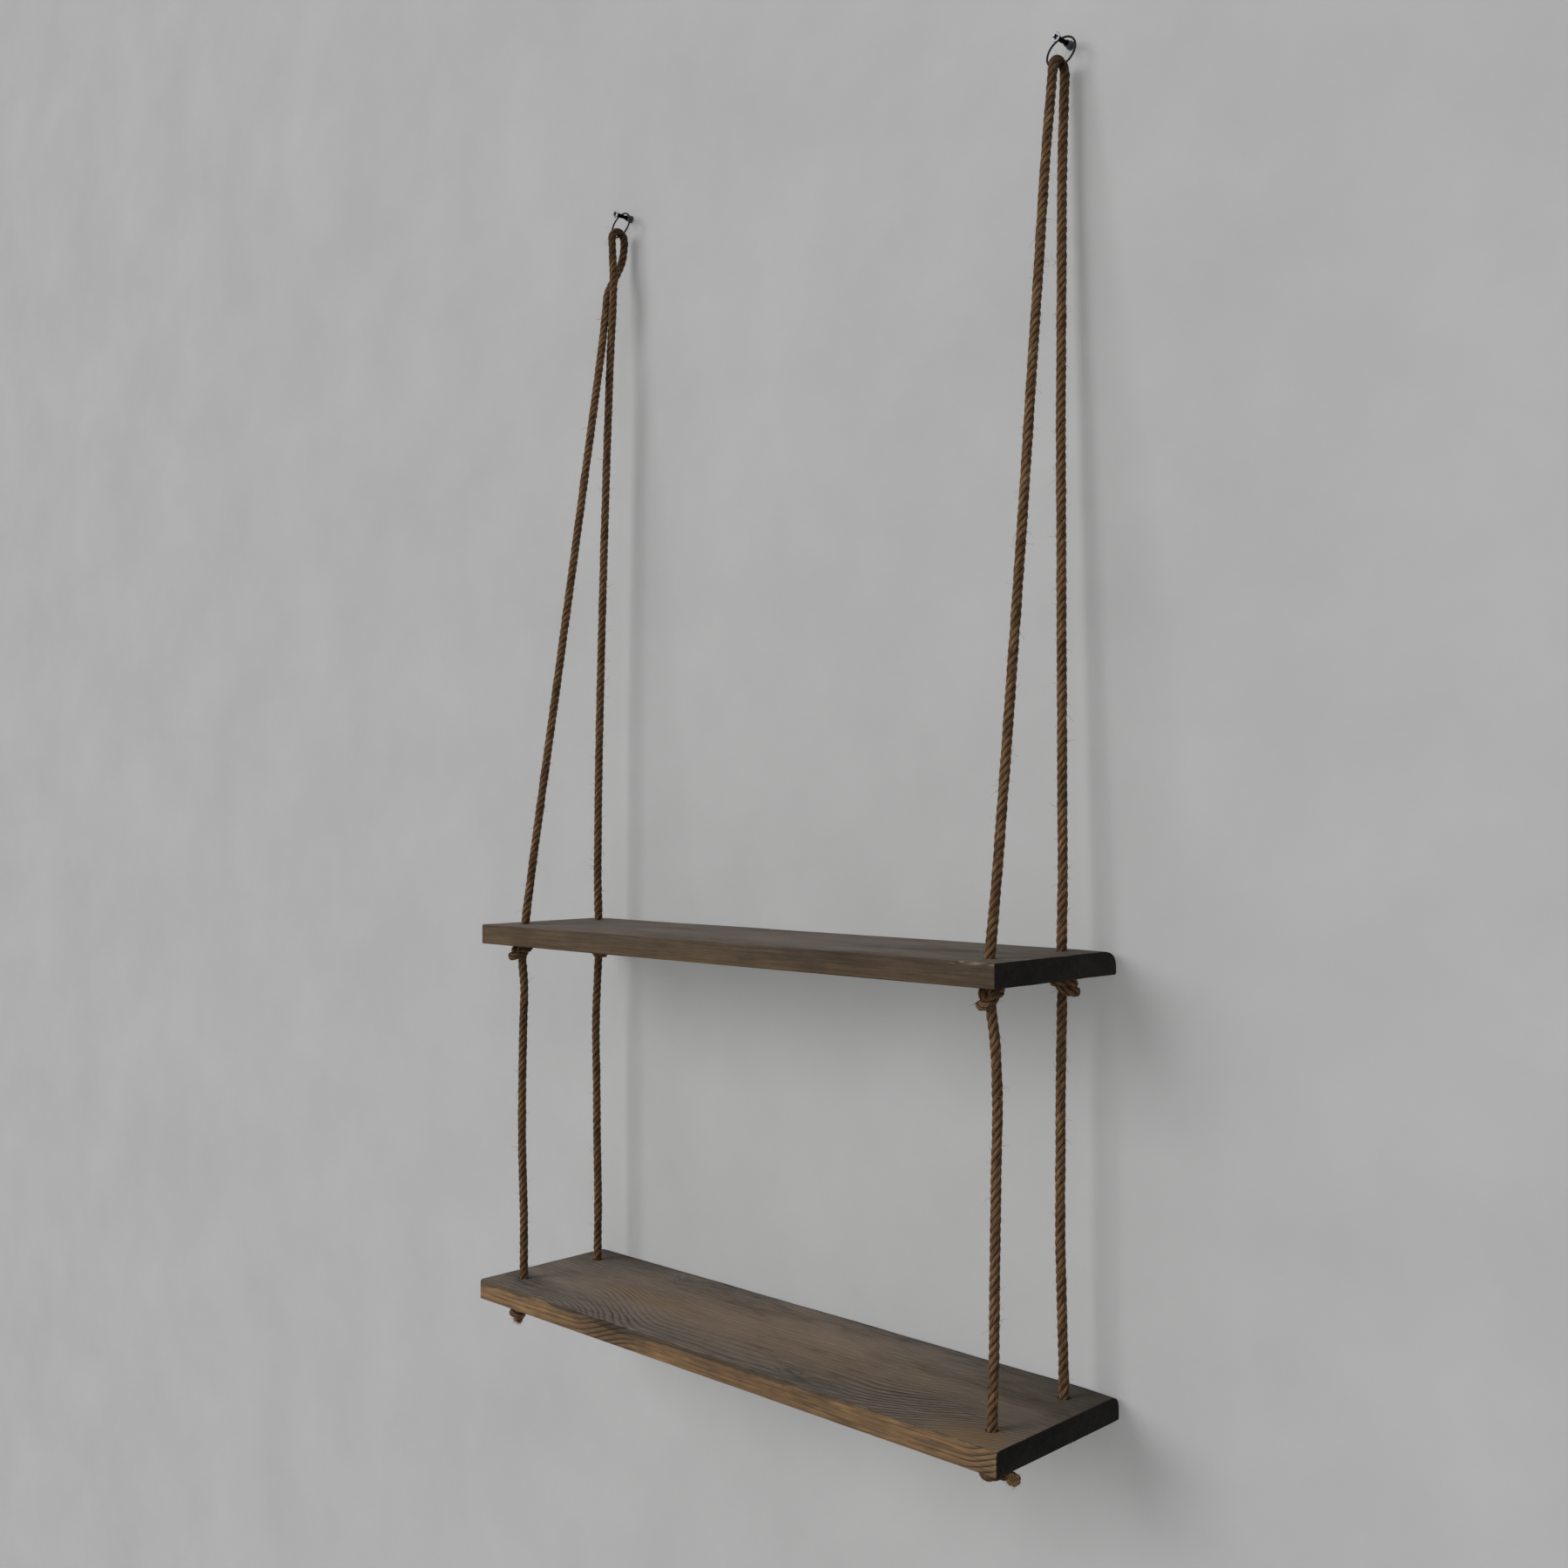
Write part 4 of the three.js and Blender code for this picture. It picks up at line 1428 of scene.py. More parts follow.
@dataclass
class Plank:
    """A reclaimed board: worn arrises, slightly uneven faces and four drilled holes."""

    name: str
    top: float
    finish: WeatheredPine
    rear_wear: tuple[float, float]
    corner_wear: tuple[float, float]
    front_wear: float
    front_wear_swing: float
    seed: float
    stations: int = 320
    unevenness: float = 0.0004
    dents_along: float = 14
    dents_across: float = 40
    wear_octaves: tuple[float, float, int] = (0.6, 2.0, 4)
    dent_octaves: tuple[float, float, int] = (0.7, 2.0, 3)
    lane_gap: float = 7.3
    front_wear_waves: float = 16.0
    front_wear_bias: float = 0.25
    front_wear_slope: float = 1.15
    rear_wear_swing: float = 0.16
    under_arris: float = 0.0014
    under_arris_waves: float = 30.0
    under_arris_swing: float = 0.5
    flatness: float = 0.0001
    end_arris: float = 0.0009
    corner_length: float = 0.07
    drill_sides: int = 40
    hole_roughness: float = 0.03
    rough_around: float = 1.7
    rough_down: float = 60
    upper_mouth: Shares = ((-0.003, 1.3), (0.0, 1.12), (0.0014, 1.0))
    lower_mouth: Shares = ((-0.0012, 1.0), (0.0, 1.1), (0.003, 1.3))

    def worn(self, x: float, lane: float, scale: float = 9.0) -> float:
        """Smooth noise along the board, from -1 to 1."""
        return noise.fractal(Vector((x * scale, lane * self.lane_gap, self.seed)), *self.wear_octaves)

    def section(self, x: float) -> list[tuple[float, float]]:
        """The board's outline at a place along it, as distances from the wall and from the top.

        Args:
            x: the place along the board.

        Returns:
            Points round the section, starting under the front.
        """
        front, under = -SIZES.board_depth, -SIZES.board_thickness
        waves = self.worn(x, 1.0, self.front_wear_waves)
        wear = self.front_wear + self.front_wear_swing * max(0.0, waves + self.front_wear_bias)
        slope = wear * self.front_wear_slope
        to_corner = max(0.0, 1 - (SIZES.board_length / 2 - x) / self.corner_length) ** 2
        swell = (1 - to_corner) * (1 + self.rear_wear_swing * self.worn(x, 2.0))
        depth, height = (edge * swell + corner * to_corner
                         for edge, corner in zip(self.rear_wear, self.corner_wear))
        rounding = abs(self.worn(x, 3.0, self.under_arris_waves))
        lower = self.under_arris * (1 + self.under_arris_swing * rounding)
        points: list[tuple[float, float]] = []

        def arc(corner: Sequence[float], start: Sequence[float], end: Sequence[float], count: int) -> None:
            """Add a rounded corner between two faces.

            Args:
                corner: where the faces would meet.
                start: where the rounding starts.
                end: where it ends.
                count: how many steps it has.
            """
            for i in range(count + 1):
                t = i / count
                points.append(tuple((1 - t) ** 2 * a + 2 * t * (1 - t) * c + t * t * b
                                    for a, c, b in zip(start, corner, end)))

        def face(start: Sequence[float], end: Sequence[float], count: int) -> None:
            """Add the points inside a face.

            Args:
                start: where the face starts.
                end: where it ends.
                count: how many steps it has.
            """
            for i in range(1, count):
                t = i / count
                points.append(tuple(a + (b - a) * t for a, b in zip(start, end)))

        arc((front, under), (front + lower, under), (front, under + lower), count=3)
        face((front, under + lower), (front, -wear), count=9)
        arc((front, 0), (front, -wear), (front + slope, 0), count=6)
        face((front + slope, 0), (-depth, 0), count=30)
        arc((0, 0), (-depth, 0), (0, -height), count=9)
        face((0, -height), (0, under + lower), count=6)
        arc((0, under), (0, under + lower), (-lower, under), count=3)
        face((-lower, under), (front + lower, under), count=22)
        dented = []
        for y, z in points:
            spot = Vector((x * self.dents_along, y * self.dents_across, z * self.dents_across + self.seed))
            sink = min(0.0, self.unevenness * noise.fractal(spot, *self.dent_octaves))
            on_top, on_underside = z > -self.flatness, z < under + self.flatness
            if on_top or on_underside:
                dented.append((y, z + sink * (1 if on_top else -1)))
            else:
                dented.append((y - sink * math.copysign(1, front / 2 - y), z))
        return dented

    def build(self) -> Object:
        """Shape the board and drill it.

        Returns:
            The board.
        """
        half = SIZES.board_length / 2
        places = [half * (2 * i / self.stations - 1) for i in range(self.stations + 1)]
        places[1:1] = [-half + self.end_arris]
        places[-1:-1] = [half - self.end_arris]
        rings = []
        centre = np.array([-SIZES.board_depth / 2, -SIZES.board_thickness / 2])
        for x in places:
            ring = np.array(self.section(x))
            if abs(x) > half - self.end_arris / 2:
                ring = ring + np.sign(centre - ring) * self.end_arris
            rings.append(np.column_stack([np.full(len(ring), x), ring[:, 0], ring[:, 1] + self.top]))
        piece = skin_rings(self.name, np.array(rings))
        cut_away(piece, [self.drill(corner, SIZES.mouth(corner, self.top)) for corner in CORNERS])
        smooth_shade(piece, sharp_degrees=50)
        piece.data.materials.clear()
        piece.data.materials.append(self.finish.material(self.top))
        return piece

    def drill(self, corner: Corner, mouth: np.ndarray) -> Object:
        """The space of one hole, with its mouths worn a little wider.

        Args:
            corner: which hole it is.
            mouth: the middle of its upper mouth.

        Returns:
            The closed form to cut away.
        """
        radius, thick = SIZES.hole_diameter / 2, SIZES.board_thickness
        drops = [*self.upper_mouth, *((thick + past, share) for past, share in self.lower_mouth)]
        rings = []
        for drop, share in drops:
            ring = []
            for i in range(self.drill_sides):
                angle = math.tau * i / self.drill_sides
                spot = Vector((math.cos(angle) * self.rough_around, math.sin(angle) * self.rough_around,
                               drop * self.rough_down + corner.side.value + self.seed))
                reach = radius * share * (1 + self.hole_roughness * noise.noise(spot))
                ring.append((mouth[0] + reach * math.cos(angle), mouth[1] + reach * math.sin(angle),
                             mouth[2] - drop))
            rings.append(ring)
        return skin_rings("drill", np.array(rings))


@dataclass
class WallFixing:
    """The screw, wall plug and ring at one end."""

    side: Side
    steel: Material
    zinc: Material
    dull_zinc: Material
    recess_shade: Material
    nylon: Material
    head_from_wall: float = 0.028
    head_diameter: float = 0.010
    head_thickness: float = 0.0034
    head_profile: Shares = ((-0.0003, 0.04), (-0.00028, 0.5), (0.0, 0.93), (0.00035, 1.0), (0.0008, 0.97))
    shank_diameter: float = SIZES.screw_diameter
    thread_depth: float = 0.0005
    thread_pitch: float = 0.0026
    thread_from_wall: float = 0.016
    thread_run_in: float = 0.001
    thread_sharpness: float = 3.2
    stations_per_turn: int = 8
    reach_into_wall: float = 0.03
    tip_length: float = 0.003
    tip_radius: float = 0.00015
    tip_shares: tuple[float, ...] = (0.35, 0.7, 1.0)
    recess_width: float = 0.0069
    recess_slot: float = 0.0024
    recess_depth: float = 0.0024
    recess_over: float = 0.002
    recess_taper: tuple[float, float] = (1.12, 0.55)
    recess_reach: float = 0.55
    weld_angle: float = math.radians(200)
    weld_swell: float = 0.00022
    weld_reach: float = 0.0012
    rim: float = 0.0004
    # Behind this far from the head's face, the screw takes the dark finish of painted shade and painted dark
    # reflection.
    shank_shade_start: float = 0.0014
    plug_diameter: float = 0.008
    plug_length: float = 0.036
    plug_rim_diameter: float = 0.0096
    plug_nose_diameter: float = 0.0074
    plug_stands_out: float = 0.009
    plug_rim: float = 0.003
    plug_clearance: float = 0.0003
    plug_chamfer: float = 0.0003
    plug_end_chamfer: float = 0.0008
    plug_barbs: int = 4
    barb_profile: Shares = ((0.02, 0.0006), (0.55, 0.0), (0.7, 0.0), (0.72, 0.0005))
    sides: int = 40
    ring_steps: int = 128
    ring_sides: int = 20

    @property
    def across(self) -> float:
        """The fixing's place along the wall."""
        return self.side.value * SIZES.ring_across

    @property
    def label(self) -> str:
        """Which end it is at."""
        return self.side.name.lower()

    @property
    def angles(self) -> list[float]:
        """The angles of the points round the screw's line."""
        return [math.tau * i / self.sides for i in range(self.sides)]

    def turned(self, name: str, stations: Sequence[tuple[float, Callable[[float], float]]]) -> Object:
        """A form turned about the screw's line.

        Args:
            name: the piece's name.
            stations: places along the line from the wall's face, each with its radius at an angle.

        Returns:
            The closed form.
        """
        rings = [[(self.across + reach(a) * math.cos(a), along, reach(a) * math.sin(a))
                  for a in self.angles] for along, reach in stations]
        return skin_rings(name, np.array(rings))

    def screw(self) -> Object:
        """A countersunk screw with a cross recess and a cut thread.

        Returns:
            The screw.
        """
        head, shank = self.head_diameter / 2, self.shank_diameter / 2
        face = -self.head_from_wall
        steady = [(face + along, head * share) for along, share in self.head_profile]
        steady += [(face + self.head_thickness, shank), (-self.thread_from_wall - self.thread_run_in, shank)]
        stations: list[tuple[float, Callable[[float], float]]] = [
            (along, lambda angle, r=radius: r) for along, radius in steady]
        end = self.reach_into_wall - self.tip_length
        count = round((end + self.thread_from_wall) / self.thread_pitch * self.stations_per_turn)
        core = shank - self.thread_depth

        def ridge(along: float, angle: float) -> float:
            """The radius of the thread at a place: a ridge over a narrow root."""
            share = (along / self.thread_pitch + angle / math.tau) % 1
            return core + (shank - core) * max(0.0, 1 - abs(share - 0.5) * self.thread_sharpness)

        for i in range(count + 1):
            along = -self.thread_from_wall + (end + self.thread_from_wall) * i / count
            stations.append((along, lambda angle, s=along: ridge(s, angle)))
        for share in self.tip_shares:
            stations.append((end + self.tip_length * share,
                             lambda angle, s=share: max(self.tip_radius, core * (1 - s))))
        piece = self.turned(f"{self.label}_wall_screw", stations)
        slots = []
        for width, height in ((self.recess_width, self.recess_slot), (self.recess_slot, self.recess_width)):
            corners = []
            for along, share in zip((face - self.recess_over, face + self.recess_depth), self.recess_taper):
                wide, high = (width * share if width > height else width,
                              height * share if height > width else height)
                corners.append([(self.across + sx * wide / 2, along, sz * high / 2)
                                for sx, sz in ((-1, -1), (1, -1), (1, 1), (-1, 1))])
            slots.append(skin_rings("recess", np.array(corners)))
        cut_away(piece, slots)
        smooth_shade(piece, sharp_degrees=35)
        piece.data.materials.clear()
        self.finish_piece(piece, self.zinc, "wall_fixings", f"{self.label}_screw")
        piece.data.materials.append(self.dull_zinc)
        piece.data.materials.append(self.recess_shade)
        # Faces in the cross recess take the near-black painted shade; the shank behind the head takes a dark
        # finish of painted shade and painted dark reflection.
        for polygon in piece.data.polygons:
            offset = polygon.center - Vector((self.across, face, 0))
            from_line = math.hypot(offset.x, offset.z)
            in_recess = offset.y > self.rim and from_line < self.recess_width * self.recess_reach
            polygon.material_index = 2 if in_recess else int(offset.y > self.shank_shade_start)
        return piece

    def wall_plug(self) -> Object:
        """A ribbed sleeve with a rim at the wall's face and a nose that stands out of it.

        Returns:
            The plug.
        """
        bore = self.shank_diameter / 2 + self.plug_clearance
        outer, nose, rim = (d / 2 for d in (self.plug_diameter, self.plug_nose_diameter,
                                            self.plug_rim_diameter))
        profile = [(-self.plug_stands_out, bore), (-self.plug_stands_out, nose - self.plug_chamfer),
                   (-self.plug_stands_out + self.plug_chamfer, nose), (-self.plug_rim, nose),
                   (-self.plug_rim, rim), (0.0, rim)]
        reach = self.plug_length - self.plug_stands_out
        length = reach / self.plug_barbs
        for barb in range(self.plug_barbs):
            start = barb * length
            profile += [(start + length * share, outer - drop) for share, drop in self.barb_profile]
        profile += [(reach, outer - self.plug_end_chamfer), (reach, bore)]
        rings = [[(self.across + radius * math.cos(a), along, radius * math.sin(a))
                  for along, radius in profile] for a in self.angles]
        piece = skin_rings(f"{self.label}_plug_sleeve", np.array(rings), closed=True)
        smooth_shade(piece, sharp_degrees=35)
        return self.finish_piece(piece, self.nylon, "wall_fixings", f"{self.label}_wall_plug")

    def ring(self) -> Object:
        """A hoop of wire, thicker where its ends are welded.

        Returns:
            The ring.
        """
        middle, wire = SIZES.ring_bend, SIZES.ring_wire / 2
        lean = Matrix.Rotation(-SIZES.ring_lean, 3, "X")
        centre = Vector((self.across, -SIZES.ring_from_wall, SIZES.ring_centre))
        rings = []
        for i in range(self.ring_steps):
            angle = math.tau * i / self.ring_steps
            from_weld = abs((angle - self.weld_angle + math.pi) % math.tau - math.pi) * middle
            thick = wire + self.weld_swell * math.exp(-(from_weld / self.weld_reach) ** 2)
            ring = []
            for j in range(self.ring_sides):
                turn = math.tau * j / self.ring_sides
                reach = middle + thick * math.cos(turn)
                flat = Vector((reach * math.cos(angle), thick * math.sin(turn), reach * math.sin(angle)))
                ring.append(tuple(centre + lean @ flat))
            rings.append(ring)
        piece = skin_rings(f"{self.label}_hoop", np.array(rings), closed=True)
        smooth_shade(piece, sharp_degrees=60)
        return self.finish_piece(piece, self.steel, f"{self.label}_ring", f"{self.label}_ring")

    def finish_piece(self, piece: Object, material: Material, body: str, node: str) -> Object:
        """Dress a piece, ride it on its body and put it in its solid's place.

        Args:
            piece: the piece.
            material: its finish.
            body: the body that it rides on.
            node: the solid that it replaces.

        Returns:
            The piece.
        """
        piece.data.materials.append(material)
        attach(piece, body)
        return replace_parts(piece, node)

    def build(self) -> list[Object]:
        """Make the ring, screw and plug of this end."""
        return [self.ring(), self.screw(), self.wall_plug()]


@dataclass(frozen=True)
class PhotoCamera:
    """The photograph's camera, solved from the boards' corners and the ropes."""

    place: Point = (1.2985, -1.3853, -0.799)
    azimuth: float = 43.707
    elevation: float = 1.65
    roll: float = -0.05
    focal_pixels: float = 1858.5
    centre_pixels: tuple[float, float] = (928.1, 885.0)
    image_pixels: int = 1800
    sensor_width: float = 36.0

    def build(self) -> None:
        """Put the camera in the scene."""
        data = bpy.data.cameras.new("photo_camera")
        data.sensor_width = self.sensor_width
        data.lens = self.focal_pixels * self.sensor_width / self.image_pixels
        half = self.image_pixels / 2
        data.shift_x = (half - self.centre_pixels[0]) / self.image_pixels
        data.shift_y = (self.centre_pixels[1] - half) / self.image_pixels
        data.clip_start = 0.02
        camera = bpy.data.objects.new("photo_camera", data)
        camera.location = self.place
        turn = Matrix.Rotation(math.radians(self.azimuth), 4, "Z")
        tilt = Matrix.Rotation(math.radians(90 + self.elevation), 4, "X")
        camera.rotation_euler = (turn @ tilt @ Matrix.Rotation(math.radians(self.roll), 4, "Z")).to_euler()
        bpy.context.scene.collection.objects.link(camera)
        bpy.context.scene.camera = camera


@dataclass(frozen=True)
class Studio:
    """A pale wall and floor, and soft light from the left, the front and above."""

    wall_colour: str = "b0b0b0"
    floor_colour: str = "c4c4c2"
    roughness: float = 0.95
    mottling: float = 0.05
    wall_glow: float = 0.35
    world_strength: float = 0.45
    sun_strength: float = 2.0
    sun_softness: float = 34.0
    sun_azimuth: float = 27.0
    sun_elevation: float = 22.0
    floor_height: float = -2.45
    wall_top: float = 3.0
    sky_colour: str = "ffffff"
    wall_gap: float = 0.0004
    half_size: float = 9.0

    def surface(self, name: str, one_sided: bool) -> Material:
        """A plain painted surface; the wall's alone is seen only by camera and glossy rays from its front, so
        that the object's light and other sides never meet it.

        Args:
            name: the material's name.
            one_sided: True for the wall, which shows from its front alone.

        Returns:
            The material.
        """
        material, tree, shader = new_material(name)
        add = partial(add_node, tree)
        feed(tree, shader, {"Base Color": linear(self.floor_colour), "Roughness": self.roughness,
                            "Specular IOR Level": 0.0})
        if one_sided:
            place = add("ShaderNodeTexCoord").outputs["Object"]
            clouds = add("ShaderNodeTexNoise", {"Vector": place, "Scale": 4.5, "Detail": 7.0,
                                                "Roughness": 0.62})
            tone = add("ShaderNodeMapRange",
                       {"Value": clouds, "From Min": 0.3, "From Max": 0.7,
                        "To Min": 1 - self.mottling, "To Max": 1 + self.mottling})
            plaster = add("ShaderNodeVectorMath", {0: linear(self.wall_colour)[:3], "Scale": tone},
                          operation="SCALE")
            lit = add("ShaderNodeVectorMath", {0: plaster, "Scale": 1 - self.wall_glow}, operation="SCALE")
            feed(tree, shader, {"Base Color": lit, "Emission Color": plaster,
                                "Emission Strength": self.wall_glow})
            rays = add("ShaderNodeLightPath")
            seen = add("ShaderNodeMath", {0: rays.outputs["Is Camera Ray"],
                                          1: rays.outputs["Is Glossy Ray"]}, operation="MAXIMUM")
            back = add("ShaderNodeNewGeometry").outputs["Backfacing"]
            shown = add("ShaderNodeMath", {0: seen, 1: back}, operation="SUBTRACT", use_clamp=True)
            clear = add("ShaderNodeBsdfTransparent")
            mix = add("ShaderNodeMixShader", {0: shown, 1: clear, 2: shader})
            feed(tree, tree.nodes["Material Output"], {"Surface": mix})
        return material

    def build(self) -> None:
        """Add the wall, the floor, the sun and the sky."""
        reach, floor, top = self.half_size, self.floor_height, self.wall_top
        y = -self.wall_gap
        wall = mesh_object("studio_wall", [(-reach, y, floor), (reach, y, floor), (reach, y, top),
                                           (-reach, y, top)], [(0, 1, 2, 3)])
        wall.data.materials.append(self.surface("studio_wall", True))
        ground = mesh_object("studio_floor", [(-reach, -reach, floor), (reach, -reach, floor),
                                              (reach, reach, floor), (-reach, reach, floor)], [(0, 1, 2, 3)])
        ground.data.materials.append(self.surface("studio_floor", False))
        sun = bpy.data.lights.new("window_light", "SUN")
        sun.energy = self.sun_strength
        sun.angle = math.radians(self.sun_softness)
        lamp = bpy.data.objects.new("window_light", sun)
        lamp.rotation_euler = (math.radians(90 - self.sun_elevation), 0, -math.radians(self.sun_azimuth))
        bpy.context.scene.collection.objects.link(lamp)
        world = bpy.data.worlds.new("studio_light")
        world.use_nodes = True
        feed(world.node_tree, world.node_tree.nodes["Background"],
             {"Color": linear(self.sky_colour), "Strength": self.world_strength})
        bpy.context.scene.world = world
        bpy.context.scene.view_settings.view_transform = "Standard"


def upper_plank() -> Plank:
    """The upper shelf's board, with a brown sawn front whose top edge is pale near its right end: wear, and a
    painted highlight on the rounded edge.

    Returns:
        The board.
    """
    front = -SIZES.board_depth
    finish = WeatheredPine(
        "weathered_pine_upper", seed=2.4, dark="433d38", mid="665d55", light="786c62", front_dark="42372e",
        front_light="5f503f", worn_dark="42352a", worn_light="65533e", ring_tilt=2.4, worn_line=-0.014,
        worn_blur=0.006, flecked=0.6, bends=(GrainBend(-0.5, 0.1, 0.02, 0.6),),
        front_stains=(Spot(-0.315, front, 0.022, 0.1, 0.2), Spot(0.23, front, 0.03, 0.1, 0.12)),
        stains=(Spot(0.41, -0.06, 0.12, 0.12, 0.3),),
        worn_bumps=(Spot(-0.37, front, 0.035, 0.05, 0.012),),
        wear_and_highlight_places=(Spot(0.375, front, 0.035, 0.05, 0.3),))
    return Plank("upper_shelf_plank", SIZES.upper_top, finish, rear_wear=(0.017, 0.010),
                 corner_wear=(0.024, 0.015), front_wear=0.0009, front_wear_swing=0.0022, seed=1.7)


def lower_plank() -> Plank:
    """The lower shelf's board, with swept grain and a chipped, worn front.

    Returns:
        The board.
    """
    front = -SIZES.board_depth
    finish = WeatheredPine(
        "weathered_pine_lower", seed=8.1, dark="4c453f", mid="736960", light="897c70", warm="8c7254",
        worn_dark="5d4936", worn_light="9b7955", worn_line=-0.001, ring_spacing=0.0064, flecked=0.5,
        rear_line=0.009,
        bends=(GrainBend(-0.28, -0.1, -0.065, 0.2), GrainBend(0.2, 0.42, 0.1, 0.35)),
        front_bends=(GrainBend(-0.22, -0.1, -0.03, 1.0), GrainBend(0.36, 0.43, -0.02, 1.0)),
        swirls=(Spot(0.12, -0.176, 0.02, 0.009, 0.012), Spot(-0.21, -0.03, 0.035, 0.02, 0.02)),
        lined=(Spot(-0.225, -0.12, 0.035, 0.03, 0.55), Spot(-0.16, -0.175, 0.05, 0.02, 0.4),
               Spot(0.05, -0.18, 0.2, 0.014, 0.25), Spot(0.26, -0.15, 0.09, 0.03, 1.0),
               Spot(0.25, -0.19, 0.05, 0.02, 0.7), Spot(0.4, -0.06, 0.08, 0.09, -0.4),
               Spot(0.1, -0.05, 0.2, 0.04, -0.25)),
        front_lined=(Spot(-0.15, front, 0.05, 0.1, 0.7), Spot(0.385, front, 0.025, 0.1, 0.6),
                     Spot(0.0, front, 0.08, 0.1, 0.25)),
        warm_places=(Spot(-0.2, -0.11, 0.09, 0.02, 0.4), Spot(0.05, -0.1, 0.3, 0.06, 0.42),
                     Spot(0.36, -0.185, 0.045, 0.026, 1.0)),
        stains=(Spot(0.0, 0.0, 0.7, 0.045, 0.17), Spot(0.0, front, 0.6, 0.035, 0.12),
                Spot(0.42, -0.02, 0.16, 0.14, 0.64), Spot(-0.42, 0.0, 0.16, 0.06, 0.5),
                Spot(-0.42, -0.15, 0.06, 0.1, 0.12)),
        front_stains=(Spot(-0.16, front, 0.075, 0.1, 0.3), Spot(0.04, front, 0.12, 0.1, 0.22)),
        speckled=(Spot(-0.215, -0.035, 0.035, 0.03, 0.8), Spot(0.12, -0.176, 0.018, 0.008, 0.9),
                  Spot(-0.303, -0.161, 0.006, 0.003, 1.2)),
        worn_bumps=(Spot(-0.395, front, 0.03, 0.05, -0.008), Spot(-0.325, front, 0.022, 0.05, -0.005),
                    Spot(-0.24, front, 0.022, 0.05, -0.004), Spot(-0.12, front, 0.06, 0.05, -0.0075),
                    Spot(0.04, front, 0.12, 0.05, -0.0045)))
    return Plank("lower_shelf_plank", SIZES.lower_top, finish, rear_wear=(0.008, 0.006),
                 corner_wear=(0.015, 0.011), front_wear=0.0022, front_wear_swing=0.004, seed=5.2)


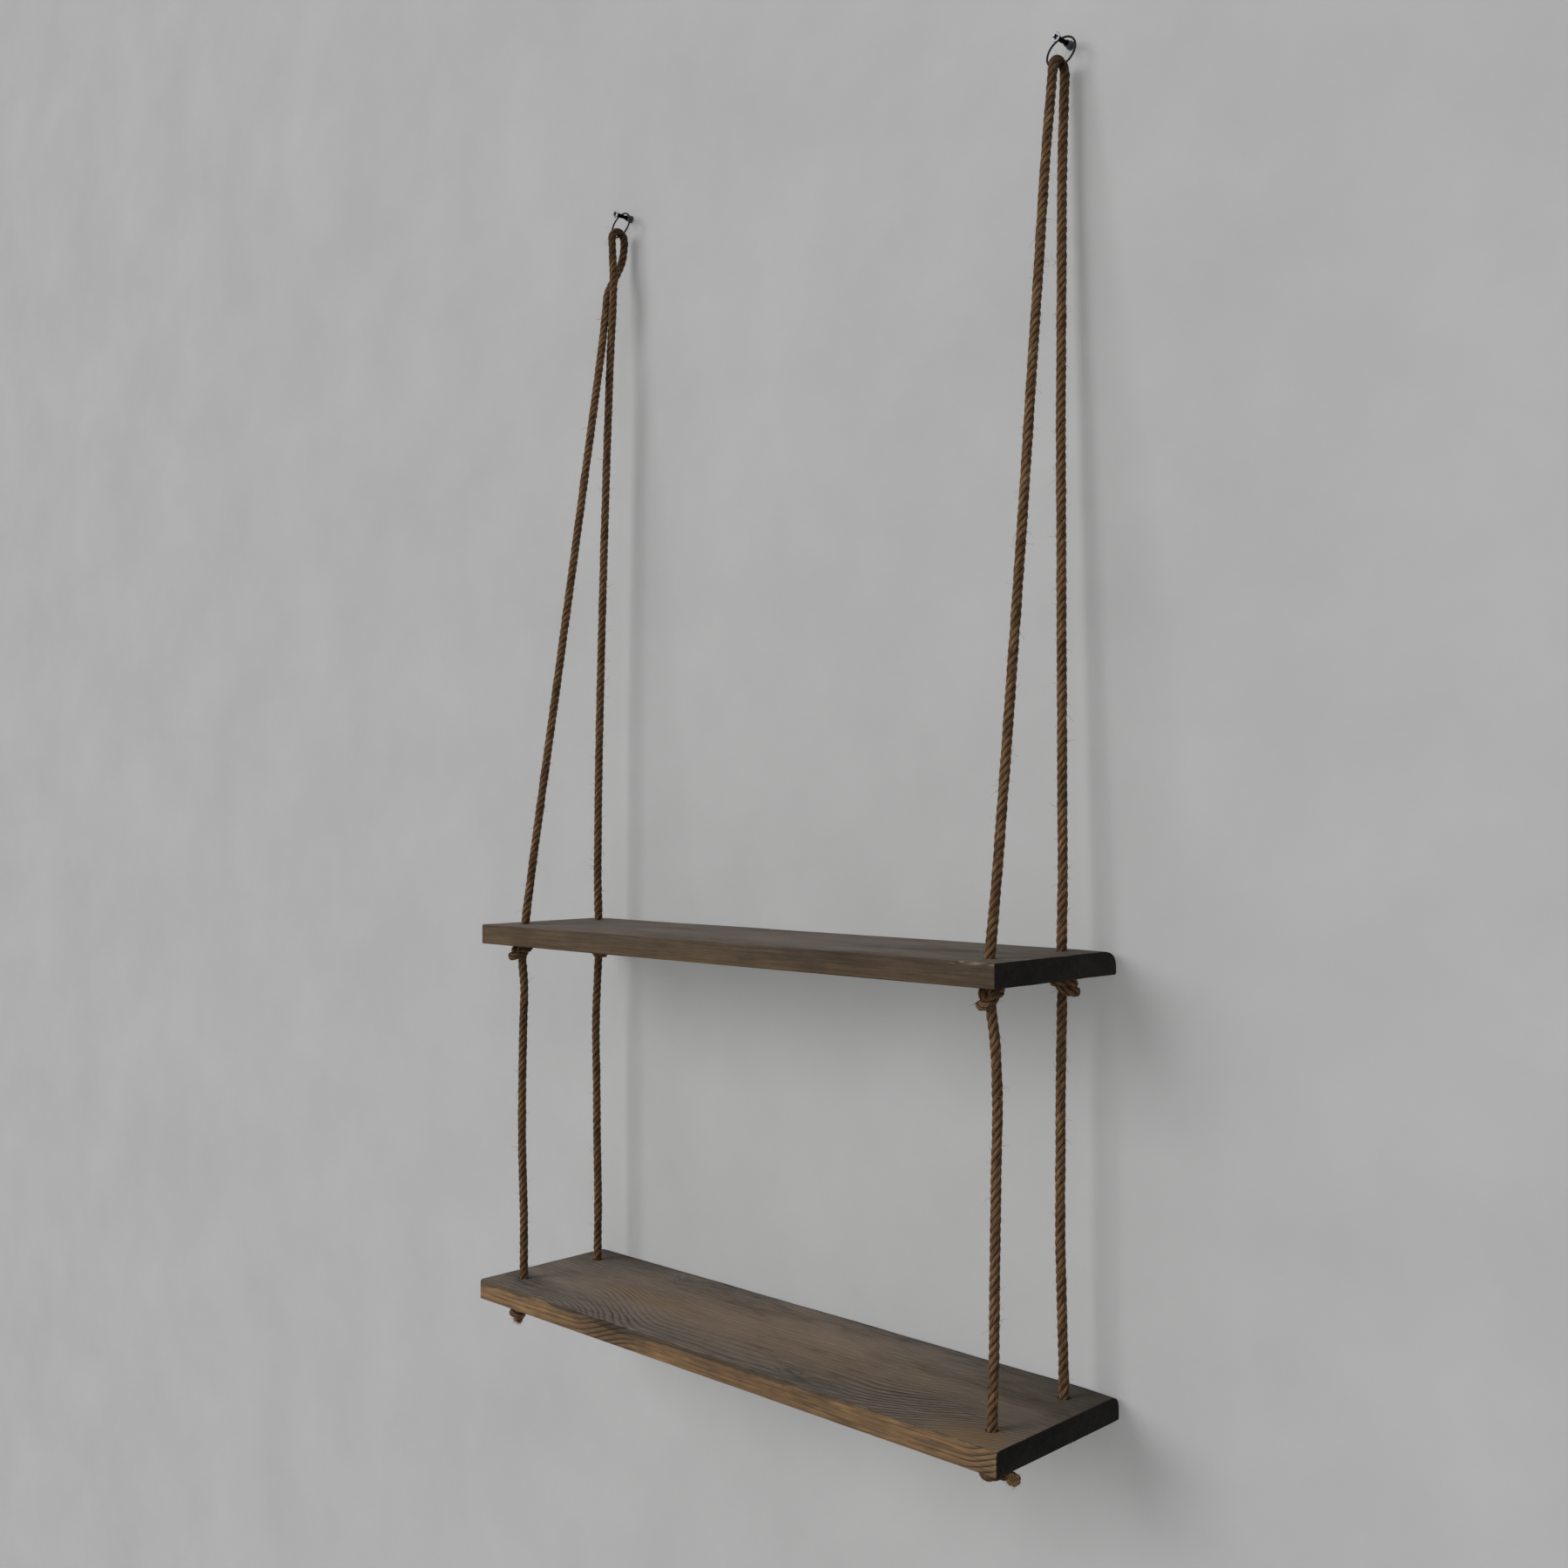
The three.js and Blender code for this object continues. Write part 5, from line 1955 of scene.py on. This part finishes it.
def corner_ropes(maker: RopeMaker) -> list[KnottedRopes]:
    """The knotted ropes at the four corners, each with its own knots and lean.

    Args:
        maker: what lays the ropes.

    Returns:
        The corners' ropes.
    """
    forms = {
        "front_left": (KnotForm(-0.08, (-0.0035, -0.0045), spacing=0.0084),
                       KnotForm(0.01, (-0.0022, -0.0028), rise_spacing=0.0062,
                                tail=((-0.001, -0.001, -0.0085), (-0.0035, -0.0035, -0.0125),
                                      (-0.0055, -0.0053, -0.0172))),
                       ((0.0, -0.0036), (0.06, -0.0012), (0.2, -0.0022), (0.4, -0.0032),
                        (0.6, -0.0027), (0.8, -0.0004))),
        "front_right": (KnotForm(-0.07, (0.0002, 0.0001), spacing=0.0071, rise_spacing=0.0076),
                        KnotForm(0.12, spacing=0.0066, rise_spacing=0.005,
                                 tail=((0.005, 0.004, -0.0066), (0.012, 0.0095, -0.0075),
                                       (0.0202, 0.0085, -0.0082), (0.0252, -0.0012, -0.0046))),
                        ((0.0, 0.001), (0.06, 0.0042), (0.2, 0.0062), (0.4, 0.0047),
                         (0.6, 0.0033), (0.8, 0.0023))),
        "rear_left": (KnotForm(0.475, (-0.0025, -0.0026), spacing=0.0083, rise_spacing=0.0076),
                      KnotForm(0.62),
                      ((0.0, 0.0), (0.06, -0.0012), (0.2, -0.003), (0.4, -0.002),
                       (0.6, -0.0012), (0.8, 0.0004))),
        "rear_right": (KnotForm(0.45, (0.0021, 0.0015), spacing=0.0084), KnotForm(0.704),
                       ((0.0, 0.0), (0.06, -0.0006), (0.2, -0.0018), (0.4, -0.0024),
                        (0.6, -0.003), (0.8, -0.0016))),
    }
    return [KnottedRopes(corner, maker, *forms[corner.name], seed=seed)
            for corner, seed in zip(CORNERS, CORNER_SEEDS)]


def doubled_ropes(maker: RopeMaker) -> list[RopeLoop]:
    """The two loops, each leg with the way that it hangs in the photograph.

    Args:
        maker: what lays the ropes.

    Returns:
        The left loop and the right one.
    """
    return [
        RopeLoop(Side.LEFT, maker,
                 front_sways=((0.0, 0.0), (0.15, 0.0), (0.35, -0.0012), (0.6, -0.0008), (0.9, -0.0014)),
                 rear_sways=((0.0, 0.0), (0.15, 0.0), (0.35, -0.0012), (0.5, -0.0025), (0.7, -0.0036),
                             (0.9, -0.0034))),
        RopeLoop(Side.RIGHT, maker,
                 front_sways=((0.0, 0.0), (0.1, -0.001), (0.4, 0.0006), (0.6, 0.0016), (0.9, 0.0013)),
                 rear_sways=((0.0, 0.0), (0.1, -0.002), (0.4, -0.0027), (0.6, -0.0015), (0.8, -0.0001),
                             (0.92, 0.0007))),
    ]


def main() -> None:
    """Build the shelf's pieces in order, then the studio."""
    PhotoCamera().build()
    maker = RopeMaker()
    pieces = [loop.build() for loop in doubled_ropes(maker)]
    for ropes in corner_ropes(maker):
        pieces += ropes.build()
    for plank, body in ((upper_plank(), "upper_shelf"), (lower_plank(), "lower_shelf")):
        piece = plank.build()
        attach(piece, body)
        pieces.append(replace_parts(piece, f"{body}_board"))
    # A dark finish for the shank behind the head: painted shade and a painted dark reflection.
    dull_zinc = ZincPlate("shank_shade_zinc_plate", bright="57534f", dull="2a2724", roughness=0.55)
    # A near-black finish for the cross recess: painted shade.
    recess_shade = ZincPlate("recess_shade_zinc", bright="191817", dull="0c0b0b", roughness=0.7)
    metals = [finish.material() for finish in (DarkSteelWire(), ZincPlate(), dull_zinc, recess_shade,
                                               MouldedNylon())]
    for side in Side:
        pieces += WallFixing(side, *metals).build()
    for piece in pieces:
        log.info("%s: %d faces", piece.name, len(piece.data.polygons))
    Studio().build()


if __name__ == "__main__":
    logging.basicConfig(level=logging.INFO, format="%(message)s")
    main()
